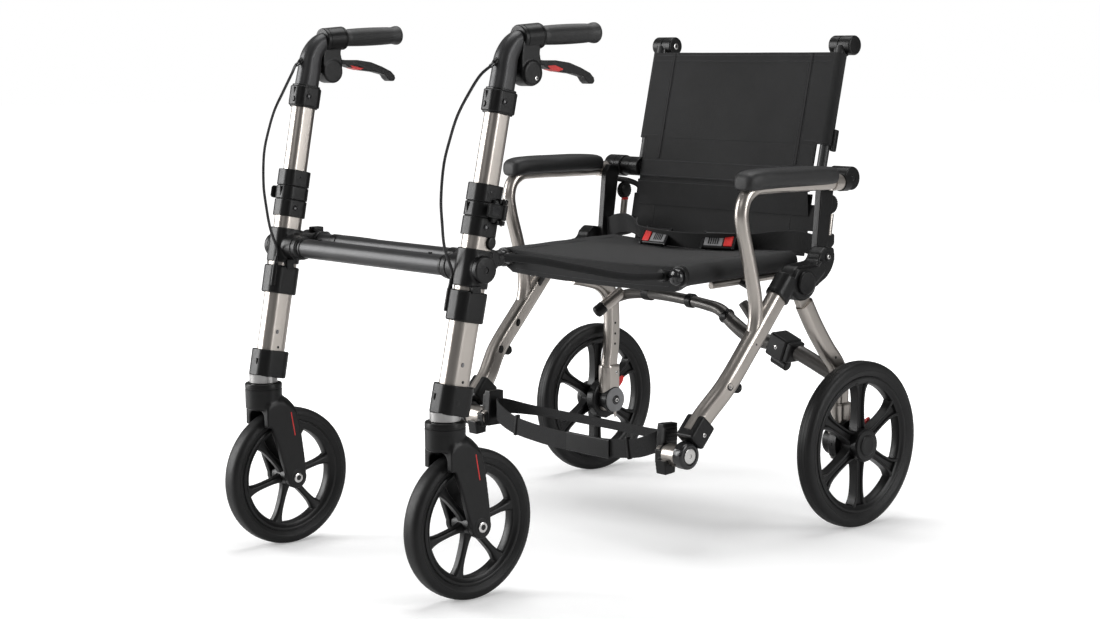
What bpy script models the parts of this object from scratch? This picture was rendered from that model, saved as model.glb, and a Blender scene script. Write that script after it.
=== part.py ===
# Rollator transport chair: a walking frame on two caster wheels joined to a sling chair on two large
# rear wheels. Metres, Z up, the seated person faces -Y, and their left-hand side is +X.
import math

import bmesh
import bpy
from mathutils import Matrix, Vector

# Clearance left between pieces that touch
GAP = 0.0003

# Facets round a collar, a tube, a thin bar and a wheel
COLLAR_SIDES = 14
TUBE_SIDES = 10
BAR_SIDES = 8
WHEEL_SIDES = 32
PAD_SIDES = 14
AXLE_SIDES = 16

# Handle posts: an oval tube leaning back, with a thinner tube sliding inside it
POST_X = 0.2505
POST_FOOT_Y = -0.4792
POST_FOOT_Z = 0.320
POST_LEAN = math.radians(11.27)
POST_SPLAY = math.radians(1.2)
POST_HALF = (0.0180, 0.0235)
STEM_HALF = (0.0155, 0.0200)
POST_BOTTOM = 0.306
POST_TOP = 0.612
POST_BORE_BOTTOM = 0.360
STEM_BOTTOM = 0.400
STEM_TOP = 0.790
CAM_STEP = (0.0304, 0.0180)

# Handles: the bent tube's last, straight run carries the grip
HANDLE_X = POST_X + (STEM_TOP - POST_FOOT_Z) * math.tan(POST_SPLAY)
GRIP_FRONT = (-0.3030, 0.8850)
GRIP_BACK = (-0.1810, 0.8905)
GRIP_CORE_R = 0.0093
GRIP_WALL = 0.0115
BAND_R = 0.0205
BAND_FRONT_Y = -0.3480
BRAKE_PIVOT = (-0.3200, 0.8430)
GROMMET_START = (-0.3800, 0.8530)
GROMMET_STEP = (-0.845, -0.534)
GROMMET_LENGTH = 0.0225
GROMMET_R = 0.0046

# Casters
CASTER_X = 0.2500
CASTER_AXIS_Y = -0.491
CASTER_WHEEL_Y = -0.4455
CASTER_R = 0.1210
CASTER_TYRE_DEPTH = 0.0230
CASTER_RIM_R = CASTER_R - CASTER_TYRE_DEPTH
CASTER_HALF_WIDTH = 0.0170
FORK_CROWN_Z = 2 * CASTER_R + 0.0025
FORK_CROWN_DEPTH = 0.0255
FORK_TOP_Z = 0.2910
FORK_BARREL_R = 0.0320
FORK_LEG_IN = 0.0225
FORK_LEG_OUT = 0.0335
FORK_FOOT_R = 0.0195
SPINDLE_R = 0.0100
SPINDLE_FLOOR = 0.0050
NECK_R = 0.0172
CASTER_PIN_R = 0.0060
CASTER_FIRST_SPOKE = 13

# Rear wheels
REAR_X = 0.347
REAR_Y = 0.394
REAR_R = 0.1525
REAR_TYRE_DEPTH = 0.0275
REAR_RIM_R = REAR_R - REAR_TYRE_DEPTH
REAR_HALF_WIDTH = 0.0170
REAR_PIN_R = 0.0080
DRUM_R = 0.0400

# Crossbars between the two handle posts
CROSS_Z = 0.525
CROSS_R = 0.0165
CROSS_END = 0.2325
CROSS_BOSS_END = 0.195
BACK_CROSS_Y = -0.3945
BACK_CROSS_Z = 0.5345
BACK_CROSS_R = 0.0130
BACK_CROSS_END = 0.246

# Link bars from the handle posts to the seat tubes
LINK_R = 0.0065
LINK_FRONT = (0.232, -0.3785, 0.5345)
LINK_SOCKET_R = 0.0130
LINK_SOCKET_END = -0.362
LINK_EAR_X = 0.203

# Chair side frames
SIDE_X = 0.305
MAIN_HALF = (0.0130, 0.0175)
ARM_R = 0.0125
ARM_Z = 0.6275
ARM_END_Y = 0.384
HUB_Y = 0.272
HUB_Z = 0.455
HUB_R = 0.033
HUB_PIN_R = 0.0060
LEG_HALF = (0.0120, 0.0175)
LEG_BOTTOM = 0.186

# Back rest
FOLD_Y = 0.407
FOLD_Z = 0.634
FOLD_PIN_R = 0.0060
HINGE_R = 0.0215
HINGE_IN = 0.2700
HINGE_OUT = 0.3155
BOW_X = 0.232
BOW_R = 0.0095
BOW_FOOT_Y = FOLD_Y + 0.008
BOW_TOP = (0.466, 0.862)
KNOB_STEP = (0.0150, 0.0110)
KNOB_R = 0.0150
KNOB_IN = 0.2050
KNOB_OUT = 0.2550
ROD_X = 0.236
ROD_FOOT = (0.4005, 0.530)
ROD_SLOPE = 0.19
ROD_R = 0.0055
UPPER_BACK_TAIL = 0.032
LOWER_BACK_TOP = 0.599
CLOTH = 0.004

# Seat
SEAT_TUBE_X = 0.232
SEAT_ROLL_R = 0.018
SEAT_FRONT_Y = 0.052
SEAT_BACK_Y = 0.335
SEAT_FRONT_Z = 0.475
SEAT_RISE = 0.03
SEAT_SAG = 0.012
PLUG_NECK_R = 0.0115
PLUG_R = 0.0148
PLUG_NECK_FRONT = 0.0420
PLUG_FRONT = 0.0300

# Foot clamps and foot strap
FOOT_CLAMP = (0.287, 0.0315, 0.2130)
FOOT_CLAMP_HALF = (0.0200, 0.0198, 0.0232)
FOOT_CLAMP_TILT = math.radians(42.0)
FOOT_PIVOT = (0.006, 0.1745)
FOOT_AXLE_R = 0.0155
FOOT_BARREL_R = 0.0250
FOOT_BARREL = (0.2680, 0.3000)
SLIDER_IN = 0.2215
SLIDER_OUT = 0.2380
GRIP_STATIONS = ((-0.3030, 0.0139), (-0.2950, 0.0146), (-0.2700, 0.0156), (-0.2400, 0.0162),
                 (-0.2150, 0.0158),
                 (-0.1970, 0.0150), (-0.1900, 0.0160), (-0.1850, 0.0168), (-0.1820, 0.0160),
                 (-0.1810, 0.0130))
FERRULE_STEP = (0.0165, 0.0255)
FERRULE_R = 0.0046
FERRULE_BOTTOM = 0.4620
FERRULE_TOP = 0.4990
REAR_BORE_END = 0.0200
SEAT_DEPTHS = ((0.0, 0.045), (0.012, 0.043), (0.026, 0.036), (0.040, 0.014), (0.100, 0.0085),
               (0.180, 0.0085),
               (0.283, 0.0085))
BELT_END_X = 0.2730 - GAP
BELT_POINTS = ((BELT_END_X, 0.3560, 0.5140), (0.2690, 0.3560, 0.5140), (0.2640, 0.3560, 0.5140),
               (0.2380, 0.3510, 0.5250), (0.2050, 0.3480, 0.5320),
               (0.1500, 0.3340, 0.5220), (0.0940, 0.2960, 0.5130), (0.0200, 0.2860, 0.5115),
               (-0.0550, 0.2960, 0.5140),
               (-0.1500, 0.3340, 0.5220), (-0.2050, 0.3480, 0.5320), (-0.2380, 0.3510, 0.5250),
               (-0.2640, 0.3560, 0.5140),
               (-0.2690, 0.3560, 0.5140), (-BELT_END_X, 0.3560, 0.5140))
BRACE_SIZES = [(r, r) for r in (0.0145, 0.0145, 0.0142, 0.0135, 0.0120, 0.0108, 0.0105, 0.0105, 0.0105)]


def clear_scene():
    for item in list(bpy.data.objects):
        bpy.data.objects.remove(item, do_unlink=True)


def material(name, colour, roughness, metallic):
    made = bpy.data.materials.new(name)
    made.use_nodes = True
    shader = made.node_tree.nodes["Principled BSDF"]
    shader.inputs["Base Color"].default_value = (*colour, 1.0)
    shader.inputs["Roughness"].default_value = roughness
    shader.inputs["Metallic"].default_value = metallic
    made.diffuse_color = (*colour, 1.0)
    return made


def bore_radius(shaft_radius, sides=AXLE_SIDES):
    """Radius of a faceted bore in which a faceted shaft turns freely."""
    return (shaft_radius + GAP) / math.cos(math.pi / sides)


# Rings and solids
def ring(centre, across, along, half_across, half_along, count):
    points = []
    for step in range(count):
        turn = 2 * math.pi * step / count
        points.append(centre + across * (half_across * math.cos(turn))
                      + along * (half_along * math.sin(turn)))
    return points


def box_ring(centre, across, along, half_across, half_along):
    corners = ((-1, -1), (1, -1), (1, 1), (-1, 1))
    return [centre + across * (half_across * u) + along * (half_along * v) for u, v in corners]


def smooth_path(points, spans):
    """Points on a smooth curve that passes through every given point."""
    given = [Vector(p) for p in points]
    path = []
    last = len(given) - 1
    for index in range(last):
        before = given[max(index - 1, 0)]
        start = given[index]
        end = given[index + 1]
        after = given[min(index + 2, last)]
        for step in range(spans):
            t = step / spans
            bend = 2 * before - 5 * start + 4 * end - after
            path.append(0.5 * (2 * start + (end - before) * t + bend * t ** 2
                               + (3 * start - before - 3 * end + after) * t ** 3))
    path.append(given[-1])
    return path


def frames(path, side):
    """Centre, across and along directions of a section at every point of a path."""
    found = []
    for index, point in enumerate(path):
        ahead = path[min(index + 1, len(path) - 1)]
        behind = path[max(index - 1, 0)]
        direction = (ahead - behind).normalized()
        across = (side - direction * side.dot(direction)).normalized()
        found.append((point, across, direction.cross(across)))
    return found


def spread(values, count):
    """Interpolates a list of size pairs to a given number of stations."""
    if len(values) == count:
        return values
    sizes = []
    for index in range(count):
        place = index * (len(values) - 1) / (count - 1)
        low = min(int(place), len(values) - 2)
        part = place - low
        first, second = values[low], values[low + 1]
        sizes.append((first[0] + (second[0] - first[0]) * part, first[1] + (second[1] - first[1]) * part))
    return sizes


def sweep_rings(path, sizes, side=(1, 0, 0), count=TUBE_SIDES, square=False):
    points = [Vector(p) for p in path]
    rings = []
    for (centre, across, along), (half_across, half_along) in zip(
            frames(points, Vector(side)), spread(sizes, len(points))):
        if square:
            rings.append(box_ring(centre, across, along, half_across, half_along))
        else:
            rings.append(ring(centre, across, along, half_across, half_along, count))
    return rings


def solid(name, rings, loop=False):
    """A closed body skinned over rings of points; a loop joins its last ring to its first."""
    work = bmesh.new()
    rows = [[work.verts.new(p) for p in row] for row in rings]
    pairs = list(zip(rows, rows[1:]))
    if loop:
        pairs.append((rows[-1], rows[0]))
    else:
        work.faces.new(rows[0])
        work.faces.new(rows[-1])
    for first, second in pairs:
        count = len(first)
        for index in range(count):
            following = (index + 1) % count
            work.faces.new((first[index], first[following], second[following], second[index]))
    bmesh.ops.recalc_face_normals(work, faces=work.faces)
    return wrap(name, work)


def wrap(name, work):
    mesh = bpy.data.meshes.new(name)
    work.to_mesh(mesh)
    work.free()
    item = bpy.data.objects.new(name, mesh)
    bpy.context.scene.collection.objects.link(item)
    return item


def sweep(name, path, sizes, side=(1, 0, 0), count=TUBE_SIDES, square=False):
    return solid(name, sweep_rings(path, sizes, side, count, square))


def tube(name, path, radius, side=(1, 0, 0), count=TUBE_SIDES):
    return sweep(name, path, [(radius, radius), (radius, radius)], side, count)


def rod(name, start, end, radius, count=COLLAR_SIDES, chamfer=0.0):
    """A straight round bar, with chamfered ends when asked."""
    first, second = Vector(start), Vector(end)
    direction = (second - first).normalized()
    side = Vector((0, 0, 1)) if abs(direction.z) < 0.9 else Vector((1, 0, 0))
    if not chamfer:
        return tube(name, [first, second], radius, side, count)
    path = [first, first + direction * chamfer, second - direction * chamfer, second]
    sizes = [(radius - chamfer, radius - chamfer), (radius, radius), (radius, radius),
             (radius - chamfer, radius - chamfer)]
    return sweep(name, path, sizes, side, count)


def block(name, low, high, bevel=0.0, segments=1):
    work = bmesh.new()
    bmesh.ops.create_cube(work, size=1.0)
    size = Vector(high) - Vector(low)
    middle = (Vector(high) + Vector(low)) / 2
    bmesh.ops.scale(work, vec=size, verts=work.verts)
    bmesh.ops.translate(work, vec=middle, verts=work.verts)
    if bevel:
        bmesh.ops.bevel(work, geom=work.edges, offset=bevel, segments=segments, affect="EDGES", profile=0.5)
    return wrap(name, work)


def plate(name, outline, low_x, high_x, bevel=0.0):
    """A flat outline given as (y, z) points, thickened along X."""
    work = bmesh.new()
    lower = [work.verts.new((low_x, y, z)) for y, z in outline]
    upper = [work.verts.new((high_x, y, z)) for y, z in outline]
    ends = [work.faces.new(lower), work.faces.new(upper)]
    for index in range(len(outline)):
        following = (index + 1) % len(outline)
        work.faces.new((lower[index], lower[following], upper[following], upper[index]))
    bmesh.ops.recalc_face_normals(work, faces=work.faces)
    if bevel:
        rims = [edge for face in ends for edge in face.edges]
        bmesh.ops.bevel(work, geom=rims, offset=bevel, segments=1, affect="EDGES", profile=0.5)
    return wrap(name, work)


def arc(centre_y, centre_z, radius, start, end, count):
    points = []
    for step in range(count + 1):
        turn = math.radians(start + (end - start) * step / count)
        points.append((centre_y + radius * math.cos(turn), centre_z + radius * math.sin(turn)))
    return points


def revolve(name, profile, centre, count, loop=True):
    """A body turned about the X axis through a centre; the profile is (offset along X, radius)."""
    rings = []
    middle = Vector(centre)
    for offset, radius in profile:
        rings.append(ring(middle + Vector((offset, 0, 0)), Vector((0, 1, 0)), Vector((0, 0, 1)),
                          radius, radius, count))
    return solid(name, rings, loop)


def combine(item, other, operation):
    change = item.modifiers.new("combine", "BOOLEAN")
    change.operation = operation
    change.solver = "EXACT"
    change.object = other
    bpy.context.view_layer.update()
    shape = item.evaluated_get(bpy.context.evaluated_depsgraph_get())
    mesh = bpy.data.meshes.new_from_object(shape)
    item.modifiers.clear()
    item.data = mesh
    bpy.data.objects.remove(other, do_unlink=True)
    work = bmesh.new()
    work.from_mesh(mesh)
    bmesh.ops.remove_doubles(work, verts=work.verts, dist=0.00002)
    bmesh.ops.dissolve_degenerate(work, dist=0.00002, edges=work.edges)
    work.to_mesh(mesh)
    work.free()
    return item


def drop_doubled_faces(mesh):
    """Removes slivers that lie back to back on the same corners."""
    work = bmesh.new()
    work.from_mesh(mesh)
    bmesh.ops.dissolve_limit(work, angle_limit=math.radians(0.2), verts=work.verts, edges=work.edges)
    bmesh.ops.triangulate(work, faces=work.faces)
    work.verts.index_update()
    found = {}
    for face in work.faces:
        found.setdefault(frozenset(corner.index for corner in face.verts), []).append(face)
    doubled = [face for same in found.values() if len(same) > 1 for face in same]
    bmesh.ops.delete(work, geom=doubled, context="FACES")
    work.to_mesh(mesh)
    work.free()


def join(item, *others):
    for other in others:
        combine(item, other, "UNION")
    return item


def cut(item, *others):
    for other in others:
        combine(item, other, "DIFFERENCE")
    return item


def finish(item, name, surface, origin=(0, 0, 0), parent=None, smooth=40):
    """Names a body, gives it its material and moves its origin to a given point."""
    item.name = name
    item.data.name = name
    drop_doubled_faces(item.data)
    item.data.materials.clear()
    item.data.materials.append(surface)
    item.data.transform(Matrix.Translation(-Vector(origin)))
    item.data.shade_smooth()
    item.data.set_sharp_from_angle(angle=math.radians(smooth))
    item.location = Vector(origin)
    if parent:
        item.parent = parent
        item.location = Vector(origin) - parent.location
    return item


def pivot(name, location):
    empty = bpy.data.objects.new(name, None)
    empty.empty_display_size = 0.02
    empty.location = location
    bpy.context.scene.collection.objects.link(empty)
    return empty


def side_name(side):
    return "left" if side > 0 else "right"


# Handle posts
def post_at(side, height):
    """A point on the axis of a handle post, which leans back and slightly outwards."""
    rise = height - POST_FOOT_Z
    return Vector((side * (POST_X + rise * math.tan(POST_SPLAY)), POST_FOOT_Y + rise * math.tan(POST_LEAN),
                   height))


def grown(half, extra):
    return (half[0] + extra, half[1] + extra)


def collar(name, side, low, high, half, chamfer=0.003, count=COLLAR_SIDES):
    """A moulded oval collar round the handle post, still without its bore."""
    heights = (low, low + chamfer, high - chamfer, high)
    path = [post_at(side, height) for height in heights]
    small = grown(half, -chamfer * 0.7)
    return sweep(name, path, [small, half, half, small], count=count)


def post_cutter(side, low, high, half):
    return sweep("cutter", [post_at(side, low), post_at(side, high)], [half, half], count=COLLAR_SIDES)


def lower_post(side, surface):
    stations = ((POST_BOTTOM, POST_HALF), (POST_TOP, POST_HALF),
                (POST_TOP, grown(STEM_HALF, GAP)), (POST_BORE_BOTTOM, grown(STEM_HALF, GAP)))
    across, along = frames([post_at(side, 0.0), post_at(side, 1.0)], Vector((1, 0, 0)))[0][1:]
    rings = [ring(post_at(side, z), across, along, half[0], half[1], COLLAR_SIDES) for z, half in stations]
    finish(solid("post", rings), side_name(side) + "_lower_post", surface)


def inner_post(side, surface):
    body = sweep("stem", [post_at(side, STEM_BOTTOM), post_at(side, STEM_TOP - GAP)],
                 [STEM_HALF, STEM_HALF], count=COLLAR_SIDES)
    finish(body, side_name(side) + "_inner_post", surface, post_at(side, STEM_TOP - GAP))


def caster_socket(side, surface):
    """The clamp at the foot of a post, with the steel neck and the spindle that the fork turns on."""
    centre = Vector((side * CASTER_X, CASTER_AXIS_Y, 0))
    up = Vector((0, 0, 1))
    body = collar("collar", side, 0.300, 0.346, (0.029, 0.034))
    neck = rod("neck", centre + up * (FORK_TOP_Z + GAP), centre + up * 0.304, NECK_R, COLLAR_SIDES)
    spindle = rod("spindle", centre + up * (FORK_CROWN_Z + SPINDLE_FLOOR), centre + up * 0.295, SPINDLE_R,
                  AXLE_SIDES)
    join(body, neck, spindle)
    cut(body, post_cutter(side, POST_BOTTOM - GAP, 0.36, grown(POST_HALF, GAP)))
    finish(body, side_name(side) + "_caster_socket", surface)


def tee_clamp(side, surface):
    axle = post_at(side, CROSS_Z)
    body = collar("tee", side, 0.495, 0.556, (0.0222, 0.0272))
    boss = rod("boss", (side * CROSS_BOSS_END, axle.y, axle.z), (side * 0.282, axle.y, axle.z), 0.0205,
               COLLAR_SIDES)
    disc = revolve("disc", [(side * 0.280, 0.0207), (side * 0.286, 0.0207), (side * 0.2885, 0.0180)],
                   (0, axle.y, axle.z), COLLAR_SIDES, False)
    lug = rod("lug", (side * 0.205, BACK_CROSS_Y, BACK_CROSS_Z),
              (side * 0.2500, BACK_CROSS_Y, BACK_CROSS_Z), 0.0175, COLLAR_SIDES)
    web = block("web", (min(side * 0.212, side * 0.248), -0.430, 0.5215),
                (max(side * 0.212, side * 0.248), -0.396, 0.5475))
    front = Vector((side * LINK_FRONT[0], LINK_FRONT[1], LINK_FRONT[2]))
    holder = rod("holder", (front.x, -0.392, front.z), (front.x, LINK_SOCKET_END, front.z), LINK_SOCKET_R,
                 TUBE_SIDES)
    low_sleeve = collar("sleeve", side, 0.443, 0.492, (0.0250, 0.0310))
    rib = sweep("rib", [post_at(side, 0.486) + Vector((-side * 0.0235, 0, 0)),
                        post_at(side, 0.503) + Vector((-side * 0.0212, 0, 0))], [(0.0030, 0.0070)] * 2,
                square=True)
    ferrule = tube("ferrule", [beside_post(side, FERRULE_BOTTOM), beside_post(side, FERRULE_TOP)],
                   FERRULE_R,
                   count=BAR_SIDES)
    join(body, boss, disc, lug, web, holder, low_sleeve, rib, ferrule)
    cut(body, post_cutter(side, 0.42, 0.58, grown(POST_HALF, GAP)),
        rod("bore", (side * 0.15, axle.y, axle.z), (side * CROSS_END, axle.y, axle.z), CROSS_R + GAP,
            COLLAR_SIDES),
        rod("bore", (side * 0.15, BACK_CROSS_Y, BACK_CROSS_Z),
            (side * BACK_CROSS_END, BACK_CROSS_Y, BACK_CROSS_Z),
            BACK_CROSS_R + GAP, COLLAR_SIDES),
        tube("bore", [front, (front.x, LINK_SOCKET_END + 0.01, front.z)], LINK_R + GAP))
    finish(body, side_name(side) + "_tee_clamp", surface)


def height_clamp(side, surface):
    body = collar("clamp", side, 0.575, 0.655, (0.0215, 0.0262))
    hinge = cam_axis(side)
    lug = sweep("lug", [hinge[0] - hinge[1] * 0.0200, hinge[0] + hinge[1] * 0.0200], [(0.0052, 0.0052)] * 2,
                count=TUBE_SIDES)
    low, high = sorted((hinge[0].x - side * 0.0190, hinge[0].x - side * 0.0020))
    rest = block("rest", (low, hinge[0].y - 0.0184, 0.594), (high, hinge[0].y + 0.0056, 0.630), 0.002)
    join(body, rest, lug)
    slot = sweep("slot", [hinge[0] - hinge[1] * 0.0125, hinge[0] + hinge[1] * 0.0125],
                 [(0.0090, 0.0090)] * 2, count=TUBE_SIDES)
    cut(body, slot)
    pin = sweep("pin", [hinge[0] - hinge[1] * 0.015, hinge[0] + hinge[1] * 0.015], [(0.0025, 0.0025)] * 2,
                count=BAR_SIDES)
    join(body, pin)
    cut(body, post_cutter(side, 0.56, POST_TOP + GAP, grown(POST_HALF, GAP)),
        post_cutter(side, 0.60, 0.67, grown(STEM_HALF, GAP)))
    finish(body, side_name(side) + "_height_clamp", surface)


def cam_axis(side):
    direction = (post_at(side, 1.0) - post_at(side, 0.0)).normalized()
    centre = post_at(side, 0.612)
    return centre + Vector((side * CAM_STEP[0], CAM_STEP[1], 0)), direction


def cam_lever(side, surface):
    centre, direction = cam_axis(side)
    ends = [centre - direction * 0.0122, centre + direction * 0.0122]
    body = sweep("cam", ends, [(0.0062, 0.0062)] * 2, count=TUBE_SIDES)
    forward = Vector((0, -1, 0))
    outward = Vector((side, 0, 0))
    path = [centre + outward * 0.0030, centre + outward * 0.0042 + forward * 0.012,
            centre + outward * 0.0038 + forward * 0.026, centre + outward * 0.0062 + forward * 0.036]
    arm = sweep("arm", smooth_path(path, 3), [(0.0105, 0.0028), (0.0108, 0.0028), (0.0108, 0.0026),
                                              (0.0090, 0.0020)],
                side=direction, square=True)
    join(body, arm)
    cut(body, sweep("hole", [centre - direction * 0.02, centre + direction * 0.02], [(0.0028, 0.0028)] * 2,
                    count=BAR_SIDES))
    finish(body, side_name(side) + "_cam_lever", surface, centre)


def handle_path():
    """The bent handle in the YZ plane, from the top of the post to the end of the grip."""
    foot = post_at(1, STEM_TOP + 0.004)
    bend = [(foot.y, foot.z), (-0.3785, 0.8220), (-0.3720, 0.8520), (-0.3560, 0.8730), (-0.3330, 0.8820)]
    end = GRIP_BACK[0] - GRIP_WALL - 3 * GAP
    straight = [(y, grip_height(y)) for y in (GRIP_FRONT[0], (GRIP_FRONT[0] + end) / 2, end)]
    return smooth_path([(0, y, z) for y, z in bend + straight], 2)


def handle_sizes(extra=0.0):
    sizes = ((0.0168, 0.0205), (0.0165, 0.0200), (0.0160, 0.0185), (0.0150, 0.0162), (0.0135, 0.0140),
             (GRIP_CORE_R, GRIP_CORE_R), (GRIP_CORE_R, GRIP_CORE_R), (GRIP_CORE_R, GRIP_CORE_R))
    return [grown(half, extra) for half in sizes]


def shifted(path, side, x=HANDLE_X):
    return [Vector((side * x, p.y, p.z)) for p in path]


def grommet_point(side, reach):
    """A point on the line of the bush through which the brake cable leaves the handle."""
    return Vector((side * HANDLE_X, GROMMET_START[0] + GROMMET_STEP[0] * reach,
                   GROMMET_START[1] + GROMMET_STEP[1] * reach))


def handle_tube(side, surface):
    body = sweep("tube", shifted(handle_path(), side), handle_sizes(), count=TUBE_SIDES)
    grommet = rod("grommet", grommet_point(side, 0), grommet_point(side, GROMMET_LENGTH), GROMMET_R,
                  BAR_SIDES)
    join(body, collar("collar", side, 0.763, 0.804, (0.0212, 0.0280)), grommet)
    cut(body, post_cutter(side, 0.74, STEM_TOP, grown(STEM_HALF, GAP)))
    finish(body, side_name(side) + "_handle_tube", surface)


def grip_height(y):
    share = (y - GRIP_FRONT[0]) / (GRIP_BACK[0] - GRIP_FRONT[0])
    return GRIP_FRONT[1] + share * (GRIP_BACK[1] - GRIP_FRONT[1])


def grip(side, surface):
    across, along = Vector((1, 0, 0)), Vector((0, 0, 1))
    rings = []
    bore = ((GRIP_BACK[0] - GRIP_WALL, GRIP_CORE_R + GAP), (GRIP_FRONT[0], GRIP_CORE_R + GAP))
    for y, radius in bore + GRIP_STATIONS:
        centre = Vector((side * HANDLE_X, y, grip_height(y)))
        rings.append(ring(centre, across, along, radius, radius, TUBE_SIDES))
    finish(solid("grip", rings), side_name(side) + "_grip", surface, smooth=50)


def brake_body(side, surface):
    """A band round the handle with a plate hanging from it, slotted for the lever."""
    band_end = GRIP_FRONT[0] - GAP
    x = side * HANDLE_X
    body = rod("band", (x, BAND_FRONT_Y, 0.8810), (x, band_end + 0.004, 0.8841), BAND_R, COLLAR_SIDES,
               0.0015)
    cut(body, block("face", (x - 0.03, band_end, 0.85), (x + 0.03, band_end + 0.02, 0.92)))
    outline = [(-0.3519, 0.8700), (-0.3543, 0.8477), (-0.3474, 0.8391), (-0.3486, 0.8203),
               (-0.3371, 0.8081),
               (-0.3208, 0.8080), (-0.3126, 0.8200), (-0.3110, 0.8400), (-0.3120, 0.8700)]
    low, high = sorted((side * (HANDLE_X - 0.0120), side * (HANDLE_X + 0.0205)))
    join(body, plate("plate", outline, low, high, 0.003))
    slot_low, slot_high = sorted((side * (HANDLE_X - 0.0068), side * (HANDLE_X + 0.0098)))
    y, z = BRAKE_PIVOT
    cut(body, sweep("cutter", shifted(handle_path(), side), handle_sizes(GAP), count=TUBE_SIDES),
        block("slot", (slot_low, y - 0.0120, z - 0.0150), (slot_high, y + 0.0400, z + 0.0165)))
    pin = rod("pin", (side * (HANDLE_X - 0.010), y, z), (side * (HANDLE_X + 0.013), y, z), 0.0030,
              BAR_SIDES)
    join(body, pin)
    finish(body, side_name(side) + "_brake_body", surface)


def brake_lever(side, surface):
    """A blade that is thick at its pivot and hooks down to a round tip."""
    y, z = BRAKE_PIVOT
    middle = HANDLE_X + 0.0015
    body = rod("eye", (side * (middle - 0.0075), y, z), (side * (middle + 0.0075), y, z), 0.0085,
               TUBE_SIDES)
    points = [(y + 0.002, z - 0.001), (-0.2954, 0.8397), (-0.2670, 0.8365), (-0.2345, 0.8298),
              (-0.2140, 0.8228),
              (-0.2050, 0.8165), (-0.1985, 0.8125), (-0.1945, 0.8100)]
    path = smooth_path([(side * middle, py, pz) for py, pz in points], 2)
    arm = sweep("arm", path, [(0.0070, 0.0055), (0.0074, 0.0059), (0.0085, 0.0072), (0.0090, 0.0050),
                              (0.0085, 0.0042),
                              (0.0080, 0.0050), (0.0070, 0.0052), (0.0040, 0.0030)], count=BAR_SIDES)
    join(body, arm)
    cut(body, rod("hole", (side * (HANDLE_X - 0.02), y, z), (side * (HANDLE_X + 0.02), y, z), 0.0033,
                  BAR_SIDES))
    finish(body, side_name(side) + "_brake_lever", surface, (side * HANDLE_X, y, z))


def beside_post(side, height, extra=0.0):
    """A point in front of the handle post, on the inner side of its axis."""
    return post_at(side, height) + Vector((-side * FERRULE_STEP[0], -FERRULE_STEP[1] - extra, 0))


def brake_cable(side, surface):
    points = [(0.2530, -0.4180, 0.8245), (0.2480, -0.4415, 0.7915), (0.2465, -0.4610, 0.7600),
              (0.2455, -0.4745, 0.7260),
              (0.2440, -0.4850, 0.6900), (0.2412, -0.4893, 0.6330), (0.2395, -0.4860, 0.5980),
              (0.2375, -0.4800, 0.5600)]
    start = [grommet_point(side, GROMMET_LENGTH + reach) for reach in (GAP, 0.004, 0.008)]
    route = [Vector((side * x, y, z)) for x, y, z in points]
    foot = [beside_post(side, height) for height in (0.5180, FERRULE_TOP + 0.010, FERRULE_TOP + 0.005,
                                                     FERRULE_TOP + GAP)]
    path = smooth_path(start + route + foot, 3)
    curve = bpy.data.curves.new("cable", "CURVE")
    curve.dimensions = "3D"
    curve.bevel_depth = 0.0024
    curve.bevel_resolution = 2
    curve.use_fill_caps = True
    spline = curve.splines.new("POLY")
    spline.points.add(len(path) - 1)
    for knot, place in zip(spline.points, path):
        knot.co = (*place, 1.0)
    drawn = bpy.data.objects.new("cable", curve)
    bpy.context.scene.collection.objects.link(drawn)
    bpy.context.view_layer.update()
    mesh = bpy.data.meshes.new_from_object(drawn.evaluated_get(bpy.context.evaluated_depsgraph_get()))
    bpy.data.objects.remove(drawn, do_unlink=True)
    item = bpy.data.objects.new("cable", mesh)
    bpy.context.scene.collection.objects.link(item)
    finish(item, side_name(side) + "_brake_cable", surface)


def crossbars(surface):
    axle = post_at(1, CROSS_Z)
    end = CROSS_END - GAP
    finish(rod("bar", (-end, axle.y, axle.z), (end, axle.y, axle.z), CROSS_R, COLLAR_SIDES),
           "front_crossbar", surface)
    end = BACK_CROSS_END - GAP
    finish(rod("bar", (-end, BACK_CROSS_Y, BACK_CROSS_Z), (end, BACK_CROSS_Y, BACK_CROSS_Z), BACK_CROSS_R,
               COLLAR_SIDES),
           "rear_crossbar", surface)


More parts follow.
